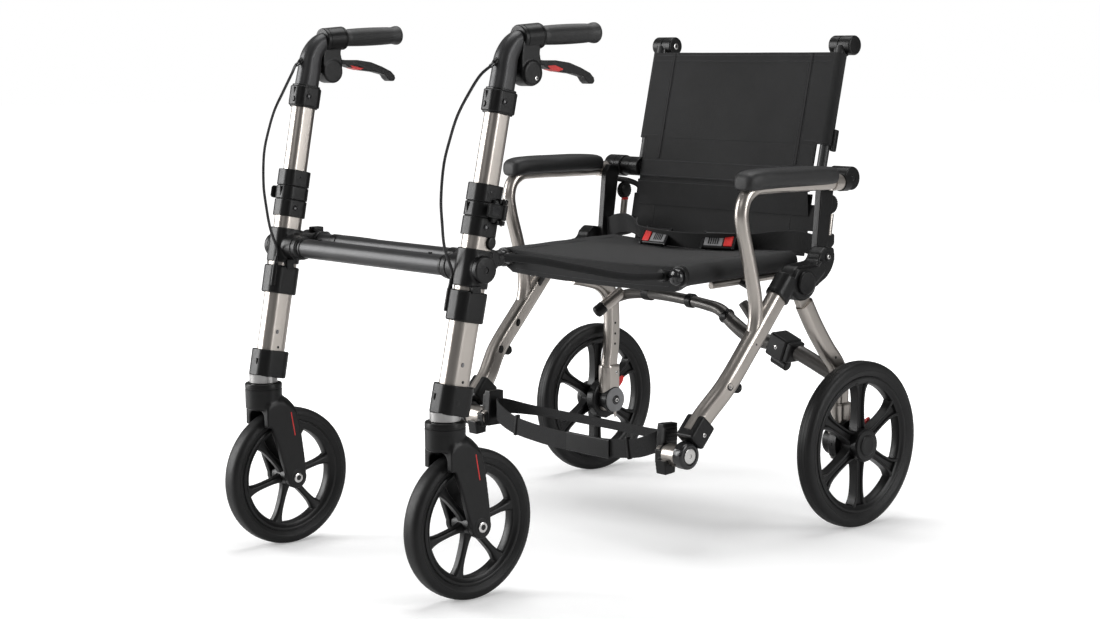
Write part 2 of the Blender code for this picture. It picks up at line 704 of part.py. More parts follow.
def link_bar(side, surface):
    """A bar whose rear end is an eye gripping the neck of the seat tube's plug."""
    front = Vector((side * LINK_FRONT[0], LINK_FRONT[1] + GAP, LINK_FRONT[2]))
    eye_back = SEAT_FRONT_Y - GAP
    eye_front = PLUG_NECK_FRONT + GAP
    ear = Vector((side * LINK_EAR_X, eye_back - 0.003, SEAT_FRONT_Z))
    path = smooth_path([front, front + Vector((0, 0.015, 0)), front + Vector((0, 0.030, 0)),
                        front + Vector((side * -0.004, 0.10, -0.010)),
                        Vector((side * (LINK_EAR_X + 0.006), -0.060, SEAT_FRONT_Z + 0.006)),
                        Vector((side * LINK_EAR_X, 0.010, SEAT_FRONT_Z + 0.0005)), ear], 2)
    body = tube("bar", path, LINK_R)
    centre = (side * SEAT_TUBE_X, eye_front, SEAT_FRONT_Z)
    far = (side * SEAT_TUBE_X, eye_back, SEAT_FRONT_Z)
    eye = rod("eye", centre, far, 0.0182, COLLAR_SIDES)
    low, high = sorted((side * (LINK_EAR_X - 0.004), side * SEAT_TUBE_X))
    web = block("web", (low, eye_front, SEAT_FRONT_Z - 0.009), (high, eye_back, SEAT_FRONT_Z + 0.009))
    join(body, eye, web)
    cut(body, rod("hole", (side * SEAT_TUBE_X, 0.0, SEAT_FRONT_Z), (side * SEAT_TUBE_X, 0.1, SEAT_FRONT_Z),
                  PLUG_NECK_R + GAP, TUBE_SIDES),
        rod("room", (side * SEAT_TUBE_X, -0.02, SEAT_FRONT_Z),
            (side * SEAT_TUBE_X, PLUG_NECK_FRONT + GAP, SEAT_FRONT_Z),
            PLUG_R + 2 * GAP, TUBE_SIDES))
    finish(body, side_name(side) + "_link_bar", surface)


# Casters
def caster_fork(side, surface):
    """A barrel that turns on the spindle, flowing into a crown and two legs beside the wheel."""
    x, axis_y, wheel_y = side * CASTER_X, CASTER_AXIS_Y, CASTER_WHEEL_Y
    crown_z, axle_z = FORK_CROWN_Z, CASTER_R
    front = [(axis_y - 0.0310, crown_z + 0.0055), (axis_y - 0.0210, crown_z - 0.0065),
             (axis_y - 0.0130, axle_z + 0.079)]
    foot = arc(wheel_y, axle_z, FORK_FOOT_R, 190, 380, 9)
    back = [(wheel_y + 0.0015, crown_z - 0.0086), (wheel_y - 0.0018, crown_z + 0.0077),
            (wheel_y - 0.0145, crown_z + 0.0215),
            (wheel_y - 0.0320, crown_z + FORK_CROWN_DEPTH), (wheel_y - 0.0645, crown_z + 0.0195)]
    legs = []
    for hand in (-1, 1):
        low, high = sorted((x + hand * FORK_LEG_IN, x + hand * FORK_LEG_OUT))
        legs.append(plate("leg", front + foot + back, low, high, 0.0020))
    half = FORK_LEG_OUT - 0.002
    crown_outline = [(axis_y - 0.0290, crown_z), (wheel_y + 0.0005, crown_z),
                     (wheel_y - 0.0025, crown_z + 0.0070),
                     (wheel_y - 0.0150, crown_z + 0.0205), (wheel_y - 0.0320, crown_z + 0.0245),
                     (axis_y - 0.0290, crown_z + 0.0115)]
    crown = plate("crown", crown_outline, x - half, x + half)
    barrel = rod("barrel", (x, axis_y, crown_z), (x, axis_y, FORK_TOP_Z), FORK_BARREL_R, COLLAR_SIDES + 4,
                 0.003)
    pin = rod("pin", (x - 0.028, wheel_y, axle_z), (x + 0.028, wheel_y, axle_z), CASTER_PIN_R, AXLE_SIDES)
    body = join(crown, barrel, *legs, pin)
    cut(body, rod("bearing", (x, axis_y, crown_z + SPINDLE_FLOOR - GAP), (x, axis_y, FORK_TOP_Z + 0.01),
                  bore_radius(SPINDLE_R), AXLE_SIDES))
    finish(body, side_name(side) + "_caster_fork", surface, (x, axis_y, FORK_CROWN_Z))


def spokes(name, centre, inner, outer, count, sizes, first=30):
    """Tapered bars that radiate from a hub, as separate shells of one body, from the angle first on."""
    work = bmesh.new()
    middle = Vector(centre)
    for number in range(count):
        turn = math.radians(first + 360 * number / count)
        outward = Vector((0, math.cos(turn), math.sin(turn)))
        across = Vector((0, -math.sin(turn), math.cos(turn)))
        rows = []
        for part, (half_wide, half_thick) in zip((0.0, 0.35, 0.75, 1.0), sizes):
            spot = middle + outward * (inner + (outer - inner) * part)
            row = box_ring(spot, across, Vector((1, 0, 0)), half_wide, half_thick)
            rows.append([work.verts.new(p) for p in row])
        work.faces.new(rows[0])
        work.faces.new(rows[-1])
        for near, far in zip(rows, rows[1:]):
            for index in range(4):
                following = (index + 1) % 4
                work.faces.new((near[index], near[following], far[following], far[index]))
    bmesh.ops.recalc_face_normals(work, faces=work.faces)
    return wrap(name, work)


def tyre_profile(inner, outer, half):
    """Outline of a tyre with a rounded tread, full sidewalls and a flat seat on the rim."""
    depth = outer - inner
    side = [(half * 0.74, inner), (half * 0.98, inner + depth * 0.34), (half * 1.00, inner + depth * 0.68),
            (half * 0.70, inner + depth * 0.93), (half * 0.22, outer)]
    return side + [(-x, r) for x, r in reversed(side)]


def wheel(prefix, centre, sizes, rim_surface, tyre_surface, cap=None, first=30):
    """A spoked rim with its tyre; sizes are outer and rim radius, half width, hub radius, bore, hub ends."""
    outer, rim, half, hub_r, bore, hub_low, hub_high, spoke_sizes = sizes
    tyre = revolve("tyre", tyre_profile(rim, outer, half), centre, WHEEL_SIDES)
    finish(tyre, prefix + "_tyre", tyre_surface, centre)
    edge = rim - GAP
    well = rim - 0.0125
    seat = half * 0.70
    ring_body = revolve("rim", [(-seat, edge), (seat, edge), (seat - 0.002, well), (-seat + 0.002, well)],
                        centre, WHEEL_SIDES)
    hub = revolve("hub", [(hub_low, hub_r - 0.003), (hub_low + 0.003, hub_r), (hub_high - 0.003, hub_r),
                          (hub_high, hub_r - 0.003)], centre, COLLAR_SIDES, False)
    arms = spokes("spokes", centre, hub_r - 0.006, well + 0.004, 6, spoke_sizes, first)
    join(ring_body, arms, hub)
    if cap:
        join(ring_body, revolve("cap", cap, centre, COLLAR_SIDES, False))
    low = min(hub_low, hub_high) - 0.01
    high = max(hub_low, hub_high) + 0.01
    if cap:
        low, high = (low, REAR_BORE_END) if centre[0] > 0 else (-REAR_BORE_END, high)
    hole = rod("hole", (centre[0] + low, centre[1], centre[2]), (centre[0] + high, centre[1], centre[2]),
               bore, AXLE_SIDES)
    cut(ring_body, hole)
    finish(ring_body, prefix + "_rim", rim_surface, centre)


def caster_wheel(side, rim_surface, tyre_surface):
    hub = FORK_LEG_IN - GAP
    wheel(side_name(side) + "_caster", (side * CASTER_X, CASTER_WHEEL_Y, CASTER_R),
          (CASTER_R, CASTER_RIM_R, CASTER_HALF_WIDTH, 0.0185, bore_radius(CASTER_PIN_R), -hub, hub,
           ((0.0075, 0.0095), (0.0060, 0.0080), (0.0065, 0.0080), (0.0110, 0.0090))), rim_surface,
          tyre_surface,
          first=CASTER_FIRST_SPOKE)


def rear_wheel(side, rim_surface, tyre_surface):
    inside = REAR_HALF_WIDTH + 0.0003
    low, high = (-inside, 0.0185) if side > 0 else (-0.0185, inside)
    cap = [(side * 0.0100, 0.0300), (side * 0.0215, 0.0310), (side * 0.0240, 0.0285),
           (side * 0.0245, 0.0190),
           (side * 0.0270, 0.0170)]
    wheel(side_name(side) + "_rear", (side * REAR_X, REAR_Y, REAR_R),
          (REAR_R, REAR_RIM_R, REAR_HALF_WIDTH, 0.0290, bore_radius(REAR_PIN_R), low, high,
           ((0.0110, 0.0110), (0.0085, 0.0090), (0.0095, 0.0090), (0.0190, 0.0100))), rim_surface,
          tyre_surface, cap)


# Chair side frames
def main_path(side):
    points = [(SIDE_X, 0.2380, 0.4560), (SIDE_X, 0.1460, 0.3510), (SIDE_X - 0.002, 0.0880, 0.2850),
              (SIDE_X - 0.016, 0.0500, 0.2380), (SIDE_X - 0.018, 0.0215, 0.2065)]
    return smooth_path([(side * x, y, z) for x, y, z in points], 2)


def arm_path(side):
    points = [(0.1560, 0.3720), (0.1610, 0.4020), (0.1600, 0.4330), (0.1450, 0.4920), (0.1265, 0.5550),
              (0.1225, 0.5850),
              (0.1310, 0.6100), (0.1540, 0.6250), (0.1850, ARM_Z), (0.2800, ARM_Z), (ARM_END_Y, ARM_Z)]
    return smooth_path([(side * SIDE_X, y, z) for y, z in points], 2)


def seat_axis_z(y):
    return SEAT_FRONT_Z + (y - SEAT_FRONT_Y) * SEAT_RISE


def side_frame(side, surface):
    body = sweep("main", main_path(side), [MAIN_HALF, MAIN_HALF], count=TUBE_SIDES)
    arm = tube("arm", arm_path(side), ARM_R, count=TUBE_SIDES)
    drop = SEAT_ROLL_R + GAP + 0.006
    rail_ends = [(side * SEAT_TUBE_X, y, seat_axis_z(y) - drop) for y in (0.125, 0.300)]
    rail = tube("rail", rail_ends, 0.006, count=BAR_SIDES)
    bracket = tube("bracket", [(side * (SIDE_X - 0.006), 0.190, 0.402), (side * 0.266, 0.196, 0.4420),
                               (side * (SEAT_TUBE_X - 0.001), 0.200, seat_axis_z(0.200) - drop)], 0.0055,
                   side=(0, 1, 0), count=BAR_SIDES)
    join(body, arm, rail, bracket)
    finish(body, side_name(side) + "_side_frame", surface)


def hub(side, surface):
    """The knuckle that joins the side frame, the rear leg and the back post."""
    low, high = sorted((side * (SIDE_X - 0.0185), side * (SIDE_X + 0.0185)))
    outline = [(0.3200, 0.4990), (0.3291, 0.5110), (0.3430, 0.5160), (0.3569, 0.5100), (0.3570, 0.4906),
               (0.3510, 0.4754),
               (0.3383, 0.4608), (0.3120, 0.4460)] + arc(HUB_Y, HUB_Z, HUB_R, -20, -245, 13)
    body = plate("hub", outline, low, high, 0.004)
    down = Vector((0, -0.6548, -0.7558))
    start = Vector((side * SIDE_X, 0.2440, 0.4630))
    socket = sweep("socket", [start, start + down * 0.040, start + down * 0.043],
                   [(0.0180, 0.0222), (0.0176, 0.0218), (0.0160, 0.0200)], count=TUBE_SIDES)
    disc = revolve("disc", [(side * 0.300, 0.0215), (side * 0.3285, 0.0215), (side * 0.3305, 0.0190)],
                   (0, HUB_Y, HUB_Z), COLLAR_SIDES, False)
    join(body, socket, disc)
    slot_low, slot_high = sorted((side * (SIDE_X - 0.0063), side * (SIDE_X + 0.0063)))
    slot = plate("slot", arc(HUB_Y, HUB_Z, 0.0262, 0, 336, 15), slot_low, slot_high)
    opening = plate("slot", [(HUB_Y - 0.026, HUB_Z), (HUB_Y + 0.026, HUB_Z), (HUB_Y + 0.052, HUB_Z - 0.048),
                             (HUB_Y - 0.018, HUB_Z - 0.048)], slot_low, slot_high)
    cut(body, slot, opening)
    pin = rod("pin", (side * (SIDE_X - 0.012), HUB_Y, HUB_Z), (side * (SIDE_X + 0.012), HUB_Y, HUB_Z),
              HUB_PIN_R, TUBE_SIDES)
    join(body, pin)
    cut(body, sweep("cutter", main_path(side), [grown(MAIN_HALF, GAP)] * 2, count=TUBE_SIDES))
    plate_low, plate_high = sorted((side * 0.2725, side * 0.2886))
    cut(body, plate("cutter", post_outline(GAP), plate_low, plate_high))
    finish(body, side_name(side) + "_hub", surface)


def post_outline(extra=0.0):
    """Foot of the back post, grown a little when it cuts its own seat in the hub."""
    return [(0.3415 - extra, 0.4820 - extra), (0.3690 + extra, 0.4820 - extra), (0.3880 + extra, 0.6130),
            (0.4000, 0.6340), (0.3640, 0.6380), (0.3540 - extra, 0.6240)]


def leg_path(side):
    """The left leg bends above its wheel; the right one bends close to the hub, as the photograph shows."""
    points = [(0.2900, 0.4150), (0.3180, 0.3720), (0.3520, 0.3280), (0.3830, 0.2920), (0.3930, 0.2620),
              (REAR_Y, 0.2200),
              (REAR_Y, LEG_BOTTOM)]
    if side < 0:
        points = [(0.2900, 0.4150), (0.3260, 0.4080), (0.3680, 0.3950), (0.3940, 0.3700),
                  (REAR_Y + 0.006, 0.3300),
                  (REAR_Y + 0.005, 0.2620), (REAR_Y, 0.2260), (REAR_Y, 0.2060), (REAR_Y, LEG_BOTTOM)]
    return smooth_path([(side * SIDE_X, y, z) for y, z in points], 2)


def rear_leg(side, surface, parent):
    body = sweep("leg", leg_path(side), [LEG_HALF, LEG_HALF], count=TUBE_SIDES)
    low, high = sorted((side * (SIDE_X - 0.0060), side * (SIDE_X + 0.0060)))
    outline = arc(HUB_Y, HUB_Z, 0.0200, 30, 210, 9) + [(0.2760, 0.4080), (0.3020, 0.4080)]
    eye = plate("eye", outline, low, high)
    join(body, eye)
    cut(body, rod("hole", (side * (SIDE_X - 0.02), HUB_Y, HUB_Z), (side * (SIDE_X + 0.02), HUB_Y, HUB_Z),
                  HUB_PIN_R + GAP, TUBE_SIDES))
    finish(body, side_name(side) + "_rear_leg", surface, (side * SIDE_X, HUB_Y, HUB_Z), parent)


def brake_carrier(side, surface, parent):
    top, foot = 0.2240, REAR_R - 0.022
    points = [(side * SIDE_X, REAR_Y, z) for z in (foot, foot + 0.006, top - 0.003, top)]
    body = sweep("sleeve", points, [(0.0130, 0.0190), (0.0165, 0.0225), (0.0165, 0.0220), (0.0150, 0.0205)],
                 count=TUBE_SIDES)
    drum = revolve("drum", [(side * 0.312, DRUM_R - 0.006), (side * 0.316, DRUM_R),
                            (side * (REAR_X - REAR_HALF_WIDTH - 0.0006), DRUM_R)],
                   (0, REAR_Y, REAR_R), COLLAR_SIDES + 4, False)
    inner = revolve("disc", [(side * 0.2840, 0.0240), (side * 0.2860, 0.0265), (side * 0.3100, 0.0265)],
                    (0, REAR_Y, REAR_R), COLLAR_SIDES, False)
    pin = rod("pin", (side * 0.318, REAR_Y, REAR_R), (side * (REAR_X + REAR_BORE_END - GAP), REAR_Y,
                                                      REAR_R), REAR_PIN_R, AXLE_SIDES)
    join(body, drum, inner, pin)
    route = leg_path(side)
    route.append(route[-1] - Vector((0, 0, GAP)))
    cut(body, sweep("cutter", route, [grown(LEG_HALF, GAP)] * 2, count=TUBE_SIDES))
    finish(body, side_name(side) + "_brake_carrier", surface, (side * SIDE_X, REAR_Y, REAR_R), parent)


def arm_pad(side, surface):
    """A soft pad moulded over the arm tube, with a drooping nose."""
    stations = ((0.1200, 0.6330, 0.0110, 0.0075), (0.1215, 0.6345, 0.0170, 0.0125),
                (0.1270, 0.6370, 0.0215, 0.0160),
                (0.1400, 0.6395, 0.0245, 0.0175), (0.1650, 0.6415, 0.0258, 0.0172),
                (0.2300, 0.6422, 0.0264, 0.0166),
                (0.3100, 0.6422, 0.0262, 0.0166), (0.3480, 0.6412, 0.0250, 0.0155),
                (0.3560, 0.6405, 0.0220, 0.0130),
                (0.3585, 0.6400, 0.0170, 0.0090))
    rings = []
    for y, z, half_x, half_z in stations:
        row = []
        for step in range(PAD_SIDES):
            turn = 2 * math.pi * step / PAD_SIDES
            c, s = math.cos(turn), math.sin(turn)
            row.append(Vector((side * SIDE_X + half_x * math.copysign(abs(c) ** 0.6, c), y,
                               z + half_z * math.copysign(abs(s) ** 0.6, s))))
        rings.append(row)
    body = solid("pad", rings)
    cut(body, tube("cutter", arm_path(side), ARM_R + GAP, count=TUBE_SIDES))
    finish(body, side_name(side) + "_arm_pad", surface, smooth=50)


def foot_clamp(side, surface):
    """A block tilted along the end of the main tube, over a pivot that carries the strap's slider."""
    x, y, z = FOOT_CLAMP
    half = Vector(FOOT_CLAMP_HALF)
    body = block("clamp", -half, half, 0.005)
    body.data.transform(Matrix.Translation((side * x, y, z)) @ Matrix.Rotation(-FOOT_CLAMP_TILT, 4, "X"))
    pivot_y, pivot_z = FOOT_PIVOT
    axle = rod("axle", (side * SLIDER_OUT, pivot_y, pivot_z), (side * 0.2750, pivot_y, pivot_z),
               FOOT_AXLE_R, COLLAR_SIDES)
    barrel = rod("barrel", (side * FOOT_BARREL[0], pivot_y, pivot_z),
                 (side * FOOT_BARREL[1], pivot_y, pivot_z),
                 FOOT_BARREL_R, COLLAR_SIDES, 0.004)
    low, high = sorted((side * SLIDER_IN, side * (SLIDER_OUT + 0.002)))
    slider = block("slider", (low, 0.0080, 0.1620), (high, 0.0340, 0.2210), 0.003)
    low, high = sorted((side * 0.2480, side * 0.2660))
    tab = block("tab", (low, pivot_y - 0.0200, pivot_z - 0.0320),
                (high, pivot_y + 0.0020, pivot_z - 0.0080), 0.003)
    join(body, barrel, axle, slider, tab)
    cut(body, sweep("cutter", main_path(side), [grown(MAIN_HALF, GAP)] * 2, count=TUBE_SIDES))
    finish(body, side_name(side) + "_foot_clamp", surface)


# Back rest
def rod_y(z):
    return ROD_FOOT[0] + (z - ROD_FOOT[1]) * ROD_SLOPE


def back_post(side, surface):
    """A bar that rises from the hub to the hinge barrel, with a wire loop for the cloth."""
    low, high = sorted((side * 0.2730, side * 0.2880))
    body = plate("bar", post_outline(), low, high)
    hinge = rod("hinge", (side * HINGE_IN, FOLD_Y, FOLD_Z), (side * HINGE_OUT, FOLD_Y, FOLD_Z), HINGE_R,
                COLLAR_SIDES + 2, 0.003)
    sleeve = tube("sleeve", [(side * SIDE_X, 0.3660, ARM_Z), (side * SIDE_X, FOLD_Y, ARM_Z)],
                  ARM_R + 0.0035)
    rod_path = [(side * 0.2780, 0.3660, 0.4980), (side * 0.2560, 0.3780, 0.5000),
                (side * (ROD_X + 0.003), 0.3910, 0.5060)]
    rod_path += [(side * ROD_X, rod_y(z), z) for z in (0.5180, 0.5300, 0.5800)]
    rod_path += [(side * (ROD_X + 0.003), rod_y(0.594), 0.5940), (side * 0.2540, 0.4000, 0.6040),
                 (side * 0.2780, 0.3880, 0.6080)]
    wire = tube("wire", smooth_path(rod_path, 2), ROD_R, side=(0, 1, 0), count=BAR_SIDES)
    join(body, hinge, sleeve, wire)
    cut(body, tube("bore", [(side * SIDE_X, 0.36, ARM_Z), (side * SIDE_X, ARM_END_Y + GAP, ARM_Z)],
                   ARM_R + GAP),
        rod("hole", (side * 0.25, FOLD_Y, FOLD_Z), (side * 0.296, FOLD_Y, FOLD_Z),
            bore_radius(FOLD_PIN_R, TUBE_SIDES), TUBE_SIDES))
    finish(body, side_name(side) + "_back_post", surface)


def back_bow(side, surface, parent):
    foot = Vector((side * BOW_X, BOW_FOOT_Y, FOLD_Z))
    top = Vector((side * BOW_X, *BOW_TOP))
    reach = top + (top - foot).normalized() * 0.010
    body = tube("bow", [foot, reach], BOW_R, count=TUBE_SIDES)
    disc = rod("disc", (side * (BOW_X - BOW_R), FOLD_Y, FOLD_Z), (side * (HINGE_IN - GAP), FOLD_Y, FOLD_Z),
               0.0190, COLLAR_SIDES)
    pin = rod("pin", (side * 0.260, FOLD_Y, FOLD_Z), (side * (0.296 - GAP), FOLD_Y, FOLD_Z), FOLD_PIN_R,
              TUBE_SIDES)
    knob_y, knob_z = BOW_TOP[0] + KNOB_STEP[0], BOW_TOP[1] + KNOB_STEP[1]
    knob = rod("knob", (side * KNOB_IN, knob_y, knob_z), (side * KNOB_OUT, knob_y, knob_z), KNOB_R,
               COLLAR_SIDES, 0.002)
    join(body, disc, pin, knob)
    finish(body, side_name(side) + "_back_bow", surface, (side * BOW_X, FOLD_Y, FOLD_Z), parent)


def hook_outline(post_x, radius, reach):
    """Cloth seen end on: a flat panel whose edges wrap round two upright tubes."""
    steps = 10
    inner = radius / math.cos(math.radians(reach / steps / 2)) + GAP
    outer = inner + CLOTH
    right_outer, right_inner = [], []
    for step in range(steps + 1):
        turn = math.radians(90 - step * reach / steps)
        right_outer.append((post_x + outer * math.cos(turn), outer * math.sin(turn)))
        right_inner.append((post_x + inner * math.cos(turn), inner * math.sin(turn)))
    right = right_outer + right_inner[::-1]
    left = [(-x, y) for x, y in reversed(right)]
    return right + left


def panel(name, outline, start, end, normal):
    """Sweeps a cloth outline straight between two points; its second coordinate runs along the normal."""
    rings = []
    for centre in (start, end):
        rings.append([centre + Vector((x, 0, 0)) + normal * depth for x, depth in outline])
    return solid(name, rings)


def upper_back(surface, parent):
    foot = Vector((0, BOW_FOOT_Y, FOLD_Z))
    top = Vector((0, *BOW_TOP))
    direction = (top - foot).normalized()
    normal = Vector((0, -direction.z, direction.y))
    low = foot + direction * ((0.690 - FOLD_Z) / direction.z)
    high = foot + direction * ((0.8575 - FOLD_Z) / direction.z)
    body = panel("wings", hook_outline(BOW_X, BOW_R, 250), low, high, normal)
    front = BOW_R + GAP
    outline = [(-0.208, front), (-0.208, front + CLOTH), (0.208, front + CLOTH), (0.208, front)]
    middle_low = foot - direction * UPPER_BACK_TAIL
    middle = panel("middle", outline, middle_low, low + direction * 0.02, normal)
    join(body, middle)
    finish(body, "upper_back", surface, (0, FOLD_Y, FOLD_Z), parent)


def lower_back(surface):
    def axis(z):
        return Vector((0, rod_y(z), z))

    direction = (axis(1.0) - axis(0.0)).normalized()
    normal = Vector((0, -direction.z, direction.y))
    body = panel("hooks", hook_outline(ROD_X, ROD_R, 230), axis(0.5320), axis(0.5800), normal)
    front = ROD_R + GAP
    outline = [(-0.208, front), (-0.208, front + CLOTH), (0.208, front + CLOTH), (0.208, front)]
    join(body, panel("middle", outline, axis(0.4970), axis(LOWER_BACK_TOP), normal))
    finish(body, "lower_back", surface)


# Seat, belt and foot strap
def seat_top(x, y):
    edge = seat_axis_z(y) + SEAT_ROLL_R
    share = min(abs(x) / SEAT_TUBE_X, 1.0)
    return edge - SEAT_SAG * (1 - share ** 2.2)


def seat_ring(offset, depth):
    half = SEAT_TUBE_X
    row = []
    xs = [half * step / 4 for step in range(-4, 5)]
    y = SEAT_FRONT_Y + offset
    for x in xs:
        row.append(Vector((x, y, seat_top(x, y))))
    for step in range(1, 4):
        turn = math.radians(90 - 180 * step / 4)
        row.append(Vector((half + SEAT_ROLL_R * math.cos(turn), y,
                           seat_axis_z(y) + SEAT_ROLL_R * math.sin(turn))))
    row.append(Vector((half, y, seat_axis_z(y) - SEAT_ROLL_R)))
    for x in xs[-2:0:-1]:
        row.append(Vector((x, y, seat_top(x, y) - depth)))
    row.append(Vector((-half, y, seat_axis_z(y) - SEAT_ROLL_R)))
    for step in range(3, 0, -1):
        turn = math.radians(90 - 180 * step / 4)
        row.append(Vector((-half - SEAT_ROLL_R * math.cos(turn), y,
                           seat_axis_z(y) + SEAT_ROLL_R * math.sin(turn))))
    return row


def seat(surface):
    """A sling with a drooping front hem, rolled over two side tubes that end in round plugs."""
    body = solid("sling", [seat_ring(offset, depth) for offset, depth in SEAT_DEPTHS])
    for side in (1, -1):
        x = side * SEAT_TUBE_X
        neck = rod("neck", (x, PLUG_NECK_FRONT - 0.002, SEAT_FRONT_Z),
                   (x, SEAT_FRONT_Y + 0.01, SEAT_FRONT_Z), PLUG_NECK_R, TUBE_SIDES)
        flange = rod("flange", (x, PLUG_FRONT, SEAT_FRONT_Z), (x, PLUG_NECK_FRONT, SEAT_FRONT_Z), PLUG_R,
                     TUBE_SIDES, 0.002)
        join(body, neck, flange)
    finish(body, "seat", surface, smooth=50)


def belt(surface):
    path = smooth_path(BELT_POINTS, 2)
    body = sweep("webbing", path, [(0.0190, 0.0013)] * 2, side=(0, 0, 1), square=True)
    for x, y, z, slope in ((0.094, 0.2960, 0.5130, 0.42), (-0.055, 0.2960, 0.5140, -0.16)):
        buckle = block("buckle", (-0.026, -0.0060, -0.0165), (0.026, 0.0060, 0.0165), 0.003)
        buckle.data.transform(Matrix.Translation((x, y, z)) @ Matrix.Rotation(slope, 4, "Z"))
        join(body, buckle)
    finish(body, "belt", surface)


def foot_strap(surface):
    """A loop of webbing between the two foot clamps: a low front band and a higher rear band."""
    reach = SLIDER_IN - GAP - 0.0013
    half = [(reach, 0.0210, 0.1900, 0.0200), (0.2120, 0.0120, 0.1860, 0.0180),
            (0.1700, 0.0060, 0.1700, 0.0160),
            (0.0900, 0.0040, 0.1590, 0.0155), (0.0000, 0.0040, 0.1560, 0.0155)]
    rear = [(0.2120, 0.0320, 0.1920, 0.0150), (0.1700, 0.0560, 0.1880, 0.0100),
            (0.0900, 0.0680, 0.1860, 0.0085),
            (0.0000, 0.0710, 0.1855, 0.0085)]
    front_run = half + [(-x, y, z, w) for x, y, z, w in reversed(half[:-1])]
    rear_run = [(-x, y, z, w) for x, y, z, w in rear] + [(x, y, z, w) for x, y, z, w in reversed(rear[:-1])]
    knots = front_run + rear_run
    count = len(knots)
    rings = []
    up = Vector((0, 0, 1))
    for index in range(count):
        here = [Vector(knots[(index + step) % count][:3]) for step in (-1, 0, 1)]
        direction = here[2] - here[0]
        direction.z = 0
        direction.normalize()
        across = direction.cross(up)
        rings.append(box_ring(here[1], across, up, 0.0013, knots[index][3]))
    finish(solid("strap", rings, True), "foot_strap", surface)


# Cross brace under the seat
def brace_path():
    points = [(SIDE_X - 0.004, 0.3880, 0.2730), (0.2180, 0.3550, 0.3180), (0.1300, 0.3420, 0.3330),
              (0.0900, 0.3380, 0.3550), (0.0600, 0.3360, 0.3760), (0.0200, 0.3370, 0.3830),
              (-0.1000, 0.3420, 0.3900),
              (-0.2200, 0.3720, 0.3800), (0.004 - SIDE_X, 0.3960, 0.3600)]
    return smooth_path(points, 2)


def cross_brace(surface, clamp_surface, parent):
    origin = (0, HUB_Y, HUB_Z)
    body = sweep("brace", brace_path(), BRACE_SIZES, side=(0, 1, 0), count=TUBE_SIDES)
    branch = tube("branch", [(0.1700, 0.3470, 0.3260), (0.1180, 0.3340, 0.3960)], 0.0090, side=(0, 1, 0),
                  count=BAR_SIDES)
    stub = tube("stub", [(-0.2420, 0.3700, 0.3840), (-0.2650, 0.3200, 0.3420)], 0.0115, count=TUBE_SIDES)
    join(body, branch, stub)
    for side in (1, -1):
        cut(body, sweep("cutter", leg_path(side), [grown(LEG_HALF, GAP)] * 2))
    finish(body, "cross_brace", surface, origin, parent)
    clamp = block("clamp", (-0.0190, -0.0215, -0.0215), (0.0190, 0.0215, 0.0215), 0.004)
    knob = rod("knob", (-0.014, 0.0, -0.030), (0.024, 0.0, -0.030), 0.0105, BAR_SIDES, 0.002)
    join(clamp, knob)
    clamp.data.transform(Matrix.Translation((0.2180, 0.3550, 0.3180)) @ Matrix.Rotation(0.36, 4, "Y"))
    cut(clamp, sweep("cutter", brace_path(), [(a + GAP, b + GAP) for a, b in BRACE_SIZES], side=(0, 1, 0),
                     count=TUBE_SIDES))
    finish(clamp, "brace_clamp", clamp_surface, origin, parent)


def centre_length():
    """Moves the whole object along Y so that the floor point between its wheels' ends is the origin."""
    front = CASTER_WHEEL_Y - CASTER_R
    back = REAR_Y + REAR_R
    for item in bpy.data.objects:
        if item.parent is None:
            item.location.y -= (front + back) / 2


def build():
    clear_scene()
    champagne = material("champagne_aluminium", (0.60, 0.555, 0.50), 0.32, 0.9)
    gunmetal = material("gunmetal_tube", (0.075, 0.075, 0.08), 0.38, 0.6)
    moulding = material("black_moulding", (0.022, 0.022, 0.024), 0.5, 0.0)
    rubber = material("black_rubber", (0.016, 0.016, 0.017), 0.75, 0.0)
    tyre = material("tyre_rubber", (0.022, 0.022, 0.023), 0.8, 0.0)
    canvas = material("black_canvas", (0.03, 0.03, 0.033), 0.85, 0.0)
    foam = material("black_foam", (0.02, 0.02, 0.021), 0.7, 0.0)
    webbing = material("black_webbing", (0.02, 0.02, 0.022), 0.8, 0.0)
    fold = pivot("rear_fold_axis", (0, HUB_Y, HUB_Z))
    back = pivot("back_fold_axis", (0, FOLD_Y, FOLD_Z))
    for side in (1, -1):
        lower_post(side, champagne)
        inner_post(side, champagne)
        caster_socket(side, moulding)
        tee_clamp(side, moulding)
        height_clamp(side, moulding)
        cam_lever(side, moulding)
        handle_tube(side, gunmetal)
        grip(side, rubber)
        brake_body(side, moulding)
        brake_lever(side, moulding)
        brake_cable(side, rubber)
        link_bar(side, moulding)
        caster_fork(side, moulding)
        caster_wheel(side, moulding, tyre)
        rear_wheel(side, moulding, tyre)
        side_frame(side, champagne)
        hub(side, moulding)
        rear_leg(side, champagne, fold)
        brake_carrier(side, moulding, fold)
        arm_pad(side, foam)
        foot_clamp(side, moulding)
        back_post(side, moulding)
        back_bow(side, moulding, back)
    crossbars(gunmetal)
    cross_brace(champagne, moulding, fold)
    upper_back(canvas, back)
    lower_back(canvas)
    seat(canvas)
    belt(webbing)
    foot_strap(webbing)
    centre_length()


build()
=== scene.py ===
"""Look of the rollator transport chair: materials, detailed pieces, light and the photograph's camera.

The pieces are built in the part's own frame, in metres: +Z up, -Y the front, +X the sitter's left.
Side pieces are made for the left side and mirrored for the right one, apart from the rear legs.
"""
import math
import bmesh
import bpy
import numpy as np
from mathutils import Matrix, Vector


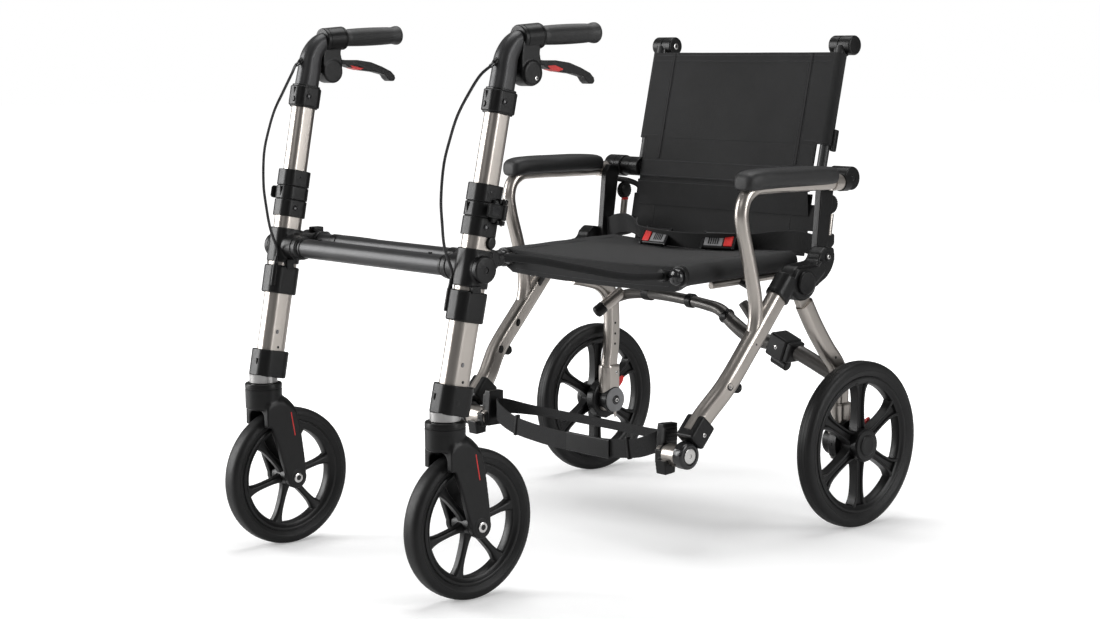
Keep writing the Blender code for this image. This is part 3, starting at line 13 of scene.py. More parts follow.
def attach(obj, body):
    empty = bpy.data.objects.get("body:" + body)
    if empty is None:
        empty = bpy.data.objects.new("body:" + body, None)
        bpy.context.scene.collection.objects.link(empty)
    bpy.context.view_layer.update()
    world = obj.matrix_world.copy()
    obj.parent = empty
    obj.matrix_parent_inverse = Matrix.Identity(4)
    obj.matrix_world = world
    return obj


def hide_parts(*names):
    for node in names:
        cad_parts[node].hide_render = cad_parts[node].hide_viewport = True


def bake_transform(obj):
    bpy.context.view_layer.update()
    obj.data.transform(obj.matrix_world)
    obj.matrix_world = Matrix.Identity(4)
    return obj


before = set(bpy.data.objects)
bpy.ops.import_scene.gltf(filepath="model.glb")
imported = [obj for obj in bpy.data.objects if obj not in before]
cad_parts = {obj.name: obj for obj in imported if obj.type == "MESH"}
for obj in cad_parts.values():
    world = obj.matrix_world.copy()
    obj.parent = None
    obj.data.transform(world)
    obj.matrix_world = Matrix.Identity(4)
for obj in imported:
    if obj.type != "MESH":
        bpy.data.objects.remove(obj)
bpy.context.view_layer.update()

X, Y, Z = Vector((1, 0, 0)), Vector((0, 1, 0)), Vector((0, 0, 1))

# Places that pieces share: arm rail, hub, rear axle, wheels, back hinge, back bow, rear crossbar

SIDE_X, ARM_Z = 0.305, 0.6275
HUB_Y, HUB_Z = 0.272, 0.455
REAR_Y, REAR_R = 0.394, 0.1525
CASTER_R, BEAD_R, REAR_BEAD_R, TYRE_HALF = 0.121, 0.0985, 0.1255, 0.017
FOLD = (0, 0.407, 0.634)
BOW_X, BOW_FOOT, BOW_TOP = 0.232, Vector((0, 0.415, 0.634)), Vector((0, 0.466, 0.862))
BOW_LINE = (BOW_TOP - BOW_FOOT).normalized()
REAR_BAR = (0, -0.3945, 0.5345)

# Where the part's own origin lies in the frame, its sides, and the smallest radius of a turned tip

ORIGIN = Vector((0, 0.01, 0))
SIDES = (("left", 1), ("right", -1))
SHARP_ANGLE = math.radians(50)
TIP = 1e-5


def mm(width, *numbers):
    """Rows of so many numbers each, written in millimetres."""
    metres = [round(number / 1000, 6) for number in numbers]
    return [tuple(metres[k:k + width]) for k in range(0, len(metres), width)]


# Materials

MATERIALS = {}
BUMP_DEPTH = 0.0006


def link(tree, out_node, out_name, in_node, in_name):
    tree.links.new(out_node.outputs[out_name], in_node.inputs[in_name])


def add(tree, kind, **inputs):
    made = tree.nodes.new("ShaderNode" + kind)
    for name, value in inputs.items():
        made.inputs[name.replace("_", " ")].default_value = value
    return made


def noise(tree, coords, scale, detail=3.0, stretch=None):
    made = add(tree, "TexNoise", Scale=scale, Detail=detail)
    if stretch:
        mapping = add(tree, "Mapping", Scale=stretch)
        link(tree, coords[0], coords[1], mapping, "Vector")
        link(tree, mapping, "Vector", made, "Vector")
    else:
        link(tree, coords[0], coords[1], made, "Vector")
    return made


def product(tree, one, other):
    """A node whose value is the product of two outputs."""
    made = tree.nodes.new("ShaderNodeMath")
    made.operation = "MULTIPLY"
    tree.links.new(one, made.inputs[0])
    tree.links.new(other, made.inputs[1])
    return made


def wave(tree, coords, direction, period):
    made = add(tree, "TexWave", Scale=math.tau / (20 * period))
    made.bands_direction = direction
    link(tree, coords[0], coords[1], made, "Vector")
    return made


def material(name, colour, roughness, tint, grain=None, metallic=0.0, spread=0.05, weave=None, rib=None,
             stretch=None, specular=None, sheen=()):
    """A procedural finish: colour and gloss that vary a little, and a bump of grain, weave or ribs."""
    made = bpy.data.materials.new(name)
    made.use_nodes = True
    tree = made.node_tree
    base = tree.nodes["Principled BSDF"]
    base.inputs["Metallic"].default_value = metallic
    if specular:
        base.inputs["Specular IOR Level"].default_value = specular
    for socket, value in zip(("Sheen Weight", "Sheen Roughness"), sheen):
        base.inputs[socket].default_value = value
    place = add(tree, "TexCoord")
    solid, cloth = (place, "Object"), (place, "UV")

    blotch = noise(tree, solid, tint[0], 4.0)
    ramp = add(tree, "ValToRGB")
    ramp.color_ramp.elements[0].position, ramp.color_ramp.elements[1].position = 0.3, 0.7
    ramp.color_ramp.elements[0].color = tuple(c * (1 - tint[1]) for c in colour) + (1,)
    ramp.color_ramp.elements[1].color = tuple(c * (1 + tint[1]) for c in colour) + (1,)
    link(tree, blotch, "Fac", ramp, "Fac")
    link(tree, ramp, "Color", base, "Base Color")

    gloss = noise(tree, solid, 160.0, 3.0, stretch)
    shift = add(tree, "MapRange", To_Min=roughness - spread, To_Max=roughness + spread)
    link(tree, gloss, "Fac", shift, "Value")
    link(tree, shift, "Result", base, "Roughness")

    last = None
    for kind, value in (("grain", grain), ("weave", weave), ("rib", rib)):
        if not value:
            continue
        bump = add(tree, "Bump", Strength=value[1], Distance=BUMP_DEPTH)
        if kind == "grain":
            source, out = noise(tree, solid, value[0], 2.0, stretch), "Fac"
        elif kind == "weave":
            across, down = wave(tree, cloth, "X", value[0]), wave(tree, cloth, "Y", value[0])
            source, out = product(tree, across.outputs["Fac"], down.outputs["Fac"]), "Value"
        else:
            source, out = wave(tree, cloth, value[2], value[0]), "Fac"
        link(tree, source, out, bump, "Height")
        if last:
            link(tree, last, "Normal", bump, "Normal")
        last = bump
    link(tree, last, "Normal", base, "Normal")
    MATERIALS[name] = made


material("champagne", (0.45, 0.416, 0.384), 0.3, (14, 0.04), (2200, 0.012), 0.95, 0.04,
         stretch=(1, 1, 0.12))
material("gunmetal", (0.04, 0.04, 0.0412), 0.4, (30, 0.06), (2000, 0.05), 0.5)
material("moulding", (0.007, 0.007, 0.0072), 0.34, (60, 0.1), (1400, 0.2), spread=0.06, specular=0.26)
material("gloss", (0.012, 0.012, 0.013), 0.16, (40, 0.05), (500, 0.03), spread=0.04)
material("bar", (0.013, 0.013, 0.0134), 0.46, (40, 0.08), (1600, 0.12))
# Painted shade: a near-black, rough finish put into holes, sockets, slots and the gaps between clamp rings,
# where shade falls.
material("recess", (0.004, 0.004, 0.004), 0.7, (60, 0.1), (700, 0.1))
material("grip", (0.016, 0.016, 0.0163), 0.5, (60, 0.12), (1500, 0.35), spread=0.06, specular=0.5)
material("tyre", (0.008, 0.008, 0.0082), 0.46, (26, 0.16), (900, 0.3), spread=0.08, specular=0.26)
material("cable", (0.01, 0.01, 0.011), 0.38, (60, 0.1), (900, 0.1))
material("canvas", (0.013, 0.013, 0.0134), 0.8, (9, 0.22), (240, 0.35), weave=(0.0013, 0.65), specular=0.3,
         sheen=(0.06, 0.5))
material("strap", (0.012, 0.012, 0.0125), 0.8, (20, 0.12), weave=(0.0012, 0.35), rib=(0.0024, 0.5, "Y"),
         specular=0.3, sheen=(0.08,))
material("thread", (0.045, 0.045, 0.048), 0.75, (300, 0.2), (1500, 0.3))
material("skin", (0.016, 0.016, 0.0165), 0.5, (30, 0.1), (1100, 0.35), specular=0.4)
material("red", (0.62, 0.018, 0.016), 0.38, (90, 0.08), (900, 0.1))
material("matte", (0.01, 0.01, 0.0103), 0.75, (30, 0.1), (1400, 0.25), specular=0.2)
material("neck", (0.4, 0.395, 0.39), 0.3, (60, 0.06), (900, 0.03), 0.95, stretch=(1, 1, 0.1))
material("steel", (0.62, 0.61, 0.6), 0.24, (80, 0.05), (1200, 0.06), 1.0, 0.06)
material("greybar", (0.115, 0.11, 0.105), 0.36, (40, 0.06), (1800, 0.08), 0.7)
material("greyplate", (0.19, 0.19, 0.195), 0.5, (60, 0.08), (900, 0.2))

# Shapes


class Form:
    """The surfaces of one piece, gathered shape by shape, with flat coordinates in metres."""

    def __init__(self):
        self.points, self.faces, self.flat, self.looks = [], [], [], []

    def take(self, part, look="moulding", bevel=0.0, segments=2, angle=33, turn=None):
        if turn is not None:
            bmesh.ops.transform(part, matrix=turn, verts=part.verts)
        bmesh.ops.recalc_face_normals(part, faces=part.faces)
        if bevel:
            sharp = [e for e in part.edges
                     if len(e.link_faces) == 2 and e.calc_face_angle() > math.radians(angle)]
            bmesh.ops.bevel(part, geom=sharp, offset=bevel, segments=segments, profile=0.5, affect="EDGES",
                            clamp_overlap=True)
        part.verts.index_update()
        layer = part.loops.layers.uv.active
        first = len(self.points)
        self.points += [v.co.copy() for v in part.verts]
        for face in part.faces:
            self.faces.append([first + v.index for v in face.verts])
            self.flat += [tuple(c[layer].uv) if layer else (0.0, 0.0) for c in face.loops]
            self.looks.append(look)
        part.free()

    def loft(self, rings, look="moulding", bevel=0.0, caps=True, loop=False, **more):
        """Skin over rings of points, with its ends capped, left open or joined in a loop."""
        part = bmesh.new()
        layer = part.loops.layers.uv.new()
        rows = [[part.verts.new(p) for p in ring] for ring in rings]
        count = len(rings[0])
        round_it = [0.0]
        for k in range(count):
            round_it.append(round_it[-1] + (Vector(rings[0][(k + 1) % count]) - Vector(rings[0][k])).length)
        along = [0.0]
        for a, b in zip(rings, rings[1:] + rings[:1]):
            along.append(along[-1] + (Vector(b[0]) - Vector(a[0])).length)
        for i in range(len(rows) if loop else len(rows) - 1):
            j = (i + 1) % len(rows)
            for k in range(count):
                m = (k + 1) % count
                face = part.faces.new((rows[i][k], rows[i][m], rows[j][m], rows[j][k]))
                spots = ((k, i), (k + 1, i), (k + 1, i + 1), (k, i + 1))
                for corner, (u, v) in zip(face.loops, spots):
                    corner[layer].uv = (round_it[u], along[v])
        if caps and not loop:
            part.faces.new(rows[0][::-1])
            part.faces.new(rows[-1])
        self.take(part, look, bevel, **more)

    def turn(self, origin, axis, profile, look="moulding", sides=40, closed=False, bevel=0.0, **more):
        """A turned shape: profile rows are (distance along the axis, radius)."""
        axis = Vector(axis).normalized()
        u = axis.orthogonal().normalized() if abs(axis.x) < 0.99 else Y.copy()
        w = axis.cross(u).normalized()
        turns = [math.tau * k / sides for k in range(sides)]
        spokes = [u * math.cos(a) + w * math.sin(a) for a in turns]
        rings = []
        for along, radius in profile:
            rings.append([Vector(origin) + axis * along + spoke * max(radius, TIP) for spoke in spokes])
        self.loft(rings, look, bevel, loop=closed, **more)

    def prism(self, outline, low, high, look="moulding", bevel=0.0, **more):
        """An outline in y and z, drawn out along x."""
        rings = [[Vector((x, y, z)) for y, z in outline] for x in (low, high)]
        self.loft(rings, look, bevel, **more)

    def block(self, centre, half, look="moulding", bevel=0.001, turn=None, **more):
        corners = [(-half[1], -half[2]), (half[1], -half[2]), (half[1], half[2]), (-half[1], half[2])]
        place = Matrix.Translation(Vector(centre)) @ (turn.to_4x4() if turn is not None else Matrix())
        self.prism(corners, -half[0], half[0], look, bevel, turn=place, **more)

    def sweep(self, rows, look="champagne", side=None, corner=0.75, per=6, sides=28):
        """A bar along a curve: rows are (x, y, z, radius) or (x, y, z, half side, half depth)."""
        path = curve(rows, per)
        rings = []
        for p, (s, u) in zip(path, frames(path, side)):
            if len(p) == 4:
                flat = oval(p[3], p[3], sides)
            else:
                flat = rounded(p[3], p[4], corner * min(p[3], p[4]))
            centre = Vector(p[:3])
            rings.append([centre + s * a + u * b for a, b in flat])
        self.loft(rings, look)

    def melt(self, voxel=0.0013, rounds=6):
        """Runs the shapes together into one moulding with rounded edges and fillets."""
        mesh = bpy.data.meshes.new("rough")
        mesh.from_pydata(self.points, [], self.faces)
        rough = bpy.data.objects.new("rough", mesh)
        bpy.context.collection.objects.link(rough)
        skin = rough.modifiers.new("skin", "REMESH")
        skin.mode, skin.voxel_size = "VOXEL", voxel
        ease = rough.modifiers.new("ease", "SMOOTH")
        ease.factor, ease.iterations = 0.5, rounds
        shape = rough.evaluated_get(bpy.context.evaluated_depsgraph_get()).to_mesh()
        self.points = [v.co.copy() for v in shape.vertices]
        self.faces = [list(face.vertices) for face in shape.polygons]
        self.flat = [(0.0, 0.0)] * sum(len(face) for face in self.faces)
        self.looks = ["moulding"] * len(self.faces)
        bpy.data.objects.remove(rough)
        bpy.data.meshes.remove(mesh)

    def merge(self, other):
        first = len(self.points)
        self.points += other.points
        self.faces += [[first + k for k in face] for face in other.faces]
        self.flat += other.flat
        self.looks += other.looks

    def screw(self, at, axis, radius=0.0035, height=0.0016, look="steel"):
        r, h = radius, height
        self.turn(at, axis, [(-0.001, r), (h * 0.6, r), (h, r * 0.85), (h, r * 0.5)], look, 20, caps=False)
        # The socket in the head is painted shade: a near-black finish stands for the shade inside it.
        self.turn(at, axis, [(h, r * 0.5), (h * 0.3, r * 0.45), (h * 0.29, 0)], "recess", 6)

    def piece(self, name, bodies, nodes, slot, mirror=1, join=None):
        """The finished object, mirrored where asked, riding its body and standing for its nodes."""
        mesh = bpy.data.meshes.new(name)
        faces = self.faces if mirror > 0 else [f[::-1] for f in self.faces]
        mesh.from_pydata([(p.x * mirror, p.y + ORIGIN.y, p.z) for p in self.points], [], faces)
        flat, start = [], 0
        for face in self.faces:
            own = self.flat[start:start + len(face)]
            flat += own if mirror > 0 else own[::-1]
            start += len(face)
        layer = mesh.uv_layers.new(name="flat")
        layer.data.foreach_set("uv", [c for uv in flat for c in uv])
        names = sorted(set(self.looks))
        for look in names:
            mesh.materials.append(MATERIALS[look])
        mesh.polygons.foreach_set("material_index", [names.index(look) for look in self.looks])
        mesh.shade_smooth()
        mesh.set_sharp_from_angle(angle=SHARP_ANGLE)
        made = bpy.data.objects.new(name, mesh)
        bpy.context.collection.objects.link(made)
        weighted = made.modifiers.new("even shading", "WEIGHTED_NORMAL")
        weighted.keep_sharp = True
        if nodes:
            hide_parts(*nodes)
        if join:
            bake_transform(made)
        else:
            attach(made, bodies)
        return made


def rounded(a, b, radius, steps=6):
    """Rounded rectangle section with half sizes a and b."""
    radius = min(radius, a * 0.999, b * 0.999)
    flat = []
    for sx, sy, start in ((1, 1, 0), (-1, 1, 90), (-1, -1, 180), (1, -1, 270)):
        for k in range(steps + 1):
            t = math.radians(start + 90 * k / steps)
            flat.append((sx * (a - radius) + radius * math.cos(t), sy * (b - radius)
                         + radius * math.sin(t)))
    return flat


def oval(a, b, sides=28, power=1.0):
    """Oval section with half sizes a and b; a power under one makes it squarer."""
    flat = []
    for k in range(sides):
        c, s = math.cos(math.tau * k / sides), math.sin(math.tau * k / sides)
        flat.append((a * math.copysign(abs(c) ** power, c), b * math.copysign(abs(s) ** power, s)))
    return flat


def arc(cx, cy, radius, start, end, steps=12):
    """Points on an arc between two angles in degrees."""
    angles = [math.radians(start + (end - start) * k / steps) for k in range(steps + 1)]
    return [(cx + radius * math.cos(t), cy + radius * math.sin(t)) for t in angles]


def soft(points, radius, steps=5):
    """An outline with its corners rounded; a third number in a point is that corner's own radius."""
    out = []
    for i, p in enumerate(points):
        a, q, b = Vector(points[i - 1][:2]), Vector(p[:2]), Vector(points[(i + 1) % len(points)][:2])
        wanted = p[2] if len(p) > 2 else radius
        u, v = a - q, b - q
        angle = u.angle(v)
        if wanted <= 0 or angle > 3.05:
            out.append(tuple(q))
            continue
        reach = min(wanted / math.tan(angle / 2), 0.48 * u.length, 0.48 * v.length)
        r = reach * math.tan(angle / 2)
        centre = q + (u.normalized() + v.normalized()).normalized() * (r / math.sin(angle / 2))
        s, e = q + u.normalized() * reach - centre, q + v.normalized() * reach - centre
        t0, t1 = math.atan2(s.y, s.x), math.atan2(e.y, e.x)
        turn = (t1 - t0 + math.pi) % math.tau - math.pi
        for k in range(steps + 1):
            t = t0 + turn * k / steps
            out.append((centre.x + r * math.cos(t), centre.y + r * math.sin(t)))
    return out


def steps_along(path):
    """Distances between the neighbours of a path."""
    return np.linalg.norm(np.diff(path[:, :3], axis=0), axis=1)


def curve(rows, per=6):
    """A smooth curve through the rows, with every column eased alike."""
    p = np.array([tuple(r) for r in rows], float)
    if len(p) < 3 or per < 2:
        return p
    gaps = np.sqrt(steps_along(p)) + 1e-9
    s = np.concatenate([[0.0], np.cumsum(gaps)])
    m = np.gradient(p, s, axis=0)
    out = []
    for i in range(len(p) - 1):
        h = s[i + 1] - s[i]
        for k in range(per):
            t = k / per
            out.append((2 * t**3 - 3 * t * t + 1) * p[i] + (t**3 - 2 * t * t + t) * h * m[i]
                       + (3 * t * t - 2 * t**3) * p[i + 1] + (t**3 - t * t) * h * m[i + 1])
    out.append(p[-1])
    return np.array(out)


def frames(path, side=None):
    """Side and up directions at each point of a path, square to it."""
    points = [Vector(p[:3]) for p in path]
    found, last = [], Vector(side) if side is not None else None
    for i in range(len(points)):
        t = (points[min(i + 1, len(points) - 1)] - points[max(i - 1, 0)]).normalized()
        if last is None:
            last = t.cross(Z) if abs(t.z) < 0.9 else t.cross(Y)
        base = Vector(side) if side is not None else last
        s = (base - t * base.dot(t)).normalized()
        last = s
        found.append((s, t.cross(s).normalized()))
    return found


def both(make, body, slot, name=None, **more):
    """Makes a side piece and its mirror copy; a body named with {} gets the side's name."""
    form = Form()
    make(form, **more)
    name = name or make.__name__
    for side, sign in SIDES:
        form.piece(f"{side}_{name}_skin", body.format(side), [f"{side}_{name}"], slot, sign)


# Front posts

LEAN, SPLAY = math.tan(math.radians(11.27)), math.tan(math.radians(1.2))
ALONG = Vector((SPLAY, LEAN, 1)).normalized()
ACROSS = (X - ALONG * ALONG.x).normalized()
FRONT = -ALONG.cross(ACROSS)
ON_POST = Matrix((ACROSS, -FRONT, ALONG)).transposed()


def post(z, front=0.0, side=0.0):
    """A point on the left handle post at a height, moved to its front and outwards."""
    foot = Vector((0.2505 + (z - 0.32) * SPLAY, -0.4792 + (z - 0.32) * LEAN, z))
    return foot + ACROSS * side + FRONT * front


def on_post(form, rows, look, corner=0.8, bevel=0.0):
    """A length of rounded tube round the post: rows are (z, half side, half depth)."""
    rings = []
    for z, a, b in rows:
        rings.append([post(z, v, u) for u, v in rounded(a, b, corner * a, 8)])
    form.loft(rings, look, bevel)


def collar(form, low, high, a, b, look="moulding", corner=0.72, bevel=0.0016):
    on_post(form, [(low, a, b), (high, a, b)], look, corner, bevel)


def ring_screw(form, at, axis, radius):
    """A flush screw whose head sits in a raised ring."""
    form.turn(at, axis, [(-0.001, radius), (0.001, radius), (0.0014, radius * 0.86),
                         (0.0004, radius * 0.62), (0.0, 0.0)], "gloss", 28)
    form.turn(at + axis * 0.0004, axis, [(0, radius * 0.44), (0.0004, radius * 0.44)], "greyplate", 6)


def oval_button(form, at, axis, a, b, height, look="moulding"):
    """A low oval button whose long side lies along the post."""
    axis = Vector(axis).normalized()
    w = axis.cross(ALONG).normalized()
    rings = []
    for k, grow in ((-0.001, 1.0), (height * 0.6, 1.0), (height * 0.92, 0.86), (height, 0.55)):
        rings.append([Vector(at) + axis * k + ALONG * (q * grow) + w * (p * grow)
                      for p, q in oval(a, b, 20)])
    form.loft(rings, look)


def lower_post(form):
    on_post(form, mm(3, 306, 18, 23.5, 612, 18, 23.5), "champagne")
    for sign in (1, -1):
        oval_button(form, post(0.378, 0.004, sign * 0.018), (sign, 0, 0), 0.0026, 0.0036, 0.0016,
                    "greyplate")
        # The small holes are near-black discs of painted shade.
        form.turn(post(0.352, -0.002, sign * 0.018), (sign, 0, 0), mm(2, -1, 2.4, 0.15, 2.4), "recess", 14)
    form.screw(post(0.566, 0.0232), FRONT, 0.003, 0.0008)
    collar(form, 0.4905, 0.4962, 0.0186, 0.0241, "champagne", 0.8, 0.0005)
    # The hole in the front of the collar is a near-black disc of painted shade.
    form.turn(post(0.4935, 0.0238), FRONT, mm(2, -1, 1.3, 0.5, 1.3), "recess", 12)


def inner_post(form):
    on_post(form, mm(3, 402, 15.5, 20, 790, 15.5, 20), "champagne")


both(lower_post, "frame", "champagne")
both(inner_post, "{}_handle", "champagne")


STEM = (0.25, -0.491)
CROSS_Z = 0.525
WHEEL = Vector((0.25, -0.4455, CASTER_R))


def caster_socket(form):
    collar(form, 0.3, 0.346, 0.0254, 0.0298, bevel=0.0022)
    form.turn((*STEM, 0.2915), Z, mm(2, 0, 23.5, 0.8, 24.5, 15, 24.5), "neck", 56)
    # The slots and the hole in the side boss are painted shade: near-black blocks and discs.
    for z in (0.3265, 0.3225):
        form.block(post(z, 0.0293, -0.006), (0.0012, 0.0018, 0.0032), "recess", 0.0004)
    form.turn(post(0.32, 0.006, 0.0253), X, mm(2, -2, 5.2, 0.3, 5.2, 0.3, 4), "moulding", 20)
    form.turn(post(0.32, 0.006, 0.0253), X, mm(2, -1, 3.6, 0.5, 3.4), "recess", 18)


both(caster_socket, "frame", "moulding")


def caster_fork(form):
    """Bearing barrel that flows into an arched hood and two blades."""
    x = STEM[0]
    form.turn((*STEM, 0.245), Z, mm(2, 0, 29, 2, 31.6, 30, 32, 31, 30), sides=64)
    blade = (mm(2, -502, 238, -498.5, 221, -492.5, 205, -484.1, 184, -475.5, 153.1, -466.8, 129)
             + arc(*WHEEL.yz, 0.0196, 172, 375, 18) + mm(2, -429.2, 156.5, -434.9, 196.1, -439.3, 220,
            -445, 230, -456, 240, -470, 247, -485, 249, -496, 245))
    for low, high in mm(2, 22.2, 33.8, -33.8, -22.2):
        form.prism(blade, x + low, x + high)
    arches = []
    for y, top in mm(2, -442, 236, -443, 244, -447, 253, -455, 262, -468, 270, -485, 273, -497, 270.5,
                     -504, 265, -506, 259):
        shape = soft([(-0.0338, 0.215, 0), (-0.0338, top, 0.021), (0.0338, top, 0.021), (0.0338, 0.215, 0),
                      (0.0222, 0.215, 0), (0.0222, 0.2425, 0.014), (-0.0222, 0.2425, 0.014),
                      (-0.0222, 0.215, 0)], 0, 10)
        arches.append([Vector((x + u, y, min(z, top))) for u, z in shape])
    form.loft(arches)
    form.melt(rounds=11)
    form.turn((*STEM, 0.245), Z, mm(2, 24, 30, 25, 31.8, 35, 32.1, 35.6, 31.1, 37, 31.1, 37.6, 32.1,
                                    44, 32.1, 45.6, 31, 46, 28), sides=64)
    for sign in (1, -1):
        hub = WHEEL + X * (0.0335 * sign)
        form.turn(hub, (sign, 0, 0), mm(2, -4, 15, 0.4, 15, 1.2, 14, 1.2, 0), sides=36)
        form.turn(hub, (sign, 0, 0), mm(2, 0.8, 8.6, 3, 8.6, 3.8, 7.6, 3.8, 4.6), "steel", 28, caps=False)
        # The socket in the axle bolt is painted shade.
        form.turn(hub, (sign, 0, 0), mm(2, 3.8, 4.6, 1.2, 4.2, 1.1, 0), "recess", 6)
        form.block((x + 0.0336 * sign, -0.4534, 0.2174), (0.0006, 0.001, 0.0212), "red", 0.0003,
                   Matrix.Rotation(0.185, 3, "X"))


both(caster_fork, "{}_caster", "moulding")


def tyre(form, centre, outer, bead, half, groove):
    """Solid tyre: round shoulders, a line on each side wall and fine grooves on the tread."""
    depth = outer - bead
    right = [(0.74, 0.0), (0.98, 0.3), (1.0, 0.4), (0.97, 0.42), (0.97, 0.45), (1.0, 0.47), (0.99, 0.66),
             (0.9, 0.84), (0.74, 0.945)]
    tread = [(0.52, 0.985), (0.4, 0.993), (0.385, 0.978), (0.345, 0.978), (0.33, 0.996), (0.06, 1.0),
             (0.045, 0.985)]
    profile = right + (tread if groove else [(0.45, 0.99), (0.2, 1.0)])
    profile = [(half * a, bead + depth * b) for a, b in profile]
    profile += [(-a, b) for a, b in profile[::-1]]
    form.turn(centre, X, profile, "tyre", 96, closed=True)


def rim(form, centre, outer, half, spokes, first, hub, hub_low, hub_high, ribbed):
    """Moulded wheel: a lipped ring, six flaring spokes and a hub."""
    well = outer - 0.0125
    ring = [(-half * 0.8, outer - 0.0005), (-half * 0.86, outer - 0.0035), (-half * 0.8, outer - 0.0065),
            (-half * 0.62, outer - 0.0085), (-half * 0.55, well - 0.0005), (-half * 0.3, well - 0.0022),
            (half * 0.3, well - 0.0022), (half * 0.55, well - 0.0005), (half * 0.62, outer - 0.0085),
            (half * 0.8, outer - 0.0065), (half * 0.86, outer - 0.0035), (half * 0.8, outer - 0.0005)]
    form.turn(centre, X, ring, "moulding", 96, closed=True)
    form.turn(centre, X, [(hub_low, hub - 0.004), (hub_low + 0.002, hub - 0.001), (hub_low + 0.003, hub),
                          (hub_high - 0.003, hub), (hub_high - 0.001, hub - 0.0012),
                          (hub_high, hub - 0.004)], sides=40)
    for k in range(6):
        angle = math.radians(first + 60 * k)
        out = Vector((0, math.cos(angle), math.sin(angle)))
        wide = Vector((0, -math.sin(angle), math.cos(angle)))
        rings = []
        for s, _, _, a, b in curve([(s, 0, 0, a, b) for s, a, b in spokes]):
            r = hub - 0.006 + s * (well + 0.002 - hub + 0.006)
            if ribbed:
                flat = [(-a, -b), (-a * 0.62, -b), (-a * 0.45, -b * 0.45), (a * 0.45, -b * 0.45),
                        (a * 0.62, -b), (a, -b), (a, b), (a * 0.62, b), (a * 0.45, b * 0.45),
                        (-a * 0.45, b * 0.45), (-a * 0.62, b), (-a, b)]
            else:
                flat = rounded(a, b, 0.7 * min(a, b), 4)
            rings.append([centre + out * r + wide * u + X * v for u, v in flat])
        form.loft(rings, bevel=0.0012 if ribbed else 0.0, angle=25)


both(tyre, "{}_caster_wheel", "tyre", "caster_tyre", centre=WHEEL, outer=CASTER_R, bead=BEAD_R,
     half=TYRE_HALF, groove=False)
both(rim, "{}_caster_wheel", "moulding", "caster_rim", centre=WHEEL, outer=BEAD_R, half=TYRE_HALF,
     spokes=[(0, 0.0095, 0.01), (0.18, 0.0062, 0.0082), (0.7, 0.0058, 0.0078), (0.86, 0.0085, 0.0085),
             (1, 0.0125, 0.0095)], first=13, hub=0.0185, hub_low=-0.0222, hub_high=0.0222, ribbed=False)

REAR = Vector((0.347, REAR_Y, REAR_R))


def rear_rim(form):
    rim(form, REAR, REAR_BEAD_R, TYRE_HALF, [(0, 0.0135, 0.011), (0.2, 0.0098, 0.01), (0.6, 0.0095, 0.0092),
            (0.84, 0.0125, 0.0098), (1, 0.0205, 0.0105)], 30, 0.029, -0.0173, 0.0185, True)
    form.turn(REAR, X, mm(2, 10, 30, 20.5, 30.6, 21.5, 30, 21.6, 28.8, 23.8, 28.6, 24.5, 27.8, 24.5, 19,
                          26.2, 18.6, 27, 17.6, 27, 12, 26.6, 11.6, 26.6, 0), sides=48)


both(tyre, "{}_rear_wheel", "tyre", "rear_tyre", centre=REAR, outer=REAR_R, bead=REAR_BEAD_R,
     half=TYRE_HALF, groove=True)
both(rear_rim, "{}_rear_wheel", "moulding")

# Clamps on the posts

CAM = post(0.612) + Vector((0.0304, 0.018, 0))


def ring_seams(low, high, radius, *seams, groove=0.0007):
    """Turned profile with soft ends and thin sunk rings at the given places."""
    rows = [(low, radius - 0.0022), (low + 0.0006, radius - 0.0006), (low + 0.002, radius)]
    for at in seams:
        rows += [(at - 0.0007, radius), (at - 0.0004, radius - groove), (at + 0.0004, radius - groove),
                 (at + 0.0007, radius)]
    return rows + [(high - 0.002, radius), (high - 0.0006, radius - 0.0006), (high, radius - 0.0022)]


def beside_post(z):
    """A point in front of the post and on its inner side, where the cable comes down."""
    return post(z) + Vector((-0.0165, -0.0255, 0))


def tee_clamp(form):
    axle = (0, *post(CROSS_Z).yz)
    collar(form, 0.4965, 0.555, 0.0218, 0.0265, bevel=0.0)
    form.turn(axle, X, mm(2, 196.5, 19, 198.5, 20.7, 233, 21.2, 279, 21.2), sides=56)
    form.turn(REAR_BAR, X, mm(2, 205, 17.4, 250, 17.4), sides=40)
    form.block((0.23, -0.413, 0.5345), (0.019, 0.019, 0.014), bevel=0.0)
    form.turn((0.232, 0, 0.5345), Y, mm(2, -395, 13.1, -362.5, 13.1), sides=36)
    form.melt()
    collar(form, 0.443, 0.4905, 0.0228, 0.0284, bevel=0.0026)
    form.block(post(0.4945, 0.0, -0.0224), (0.0026, 0.007, 0.009), bevel=0.001)
    form.block(post(0.494, 0.006, 0.0214), (0.0048, 0.0085, 0.0052), bevel=0.0012)
    # A hole painted as shade: a near-black disc.
    form.turn(post(0.494, 0.009, 0.0262), ACROSS, mm(2, -1, 2.1, 0.2, 2.1), "recess", 14)
    oval_button(form, post(0.568, -0.012, 0.015), ACROSS, 0.0085, 0.011, 0.0085)
    form.turn(axle, X, ring_seams(0.208, 0.2125, 0.0219), sides=56)
    form.turn(axle, X, ring_seams(0.194, 0.1975, 0.0198), sides=56)
    form.turn(axle, X, mm(2, 277.5, 19.2, 278.2, 20.7, 279.2, 21.2, 286.2, 21.2, 287.6, 20.5, 288.5, 19,
                          288.5, 5.2, 286.8, 4.4, 286.2, 0), sides=56)
    # The socket in the end cap is painted shade.
    form.turn(axle, X, mm(2, 286.6, 3.2, 286.8, 3.2, 286.8, 0), "recess", 6)
    form.block((0.224, -0.393, 0.554), (0.0085, 0.01, 0.0042), bevel=0.0015)
    form.turn(beside_post(0.46), ALONG, mm(2, 0, 3.4, 1.2, 4.6, 35, 4.6, 36, 4, 39.5, 3.6), sides=20)


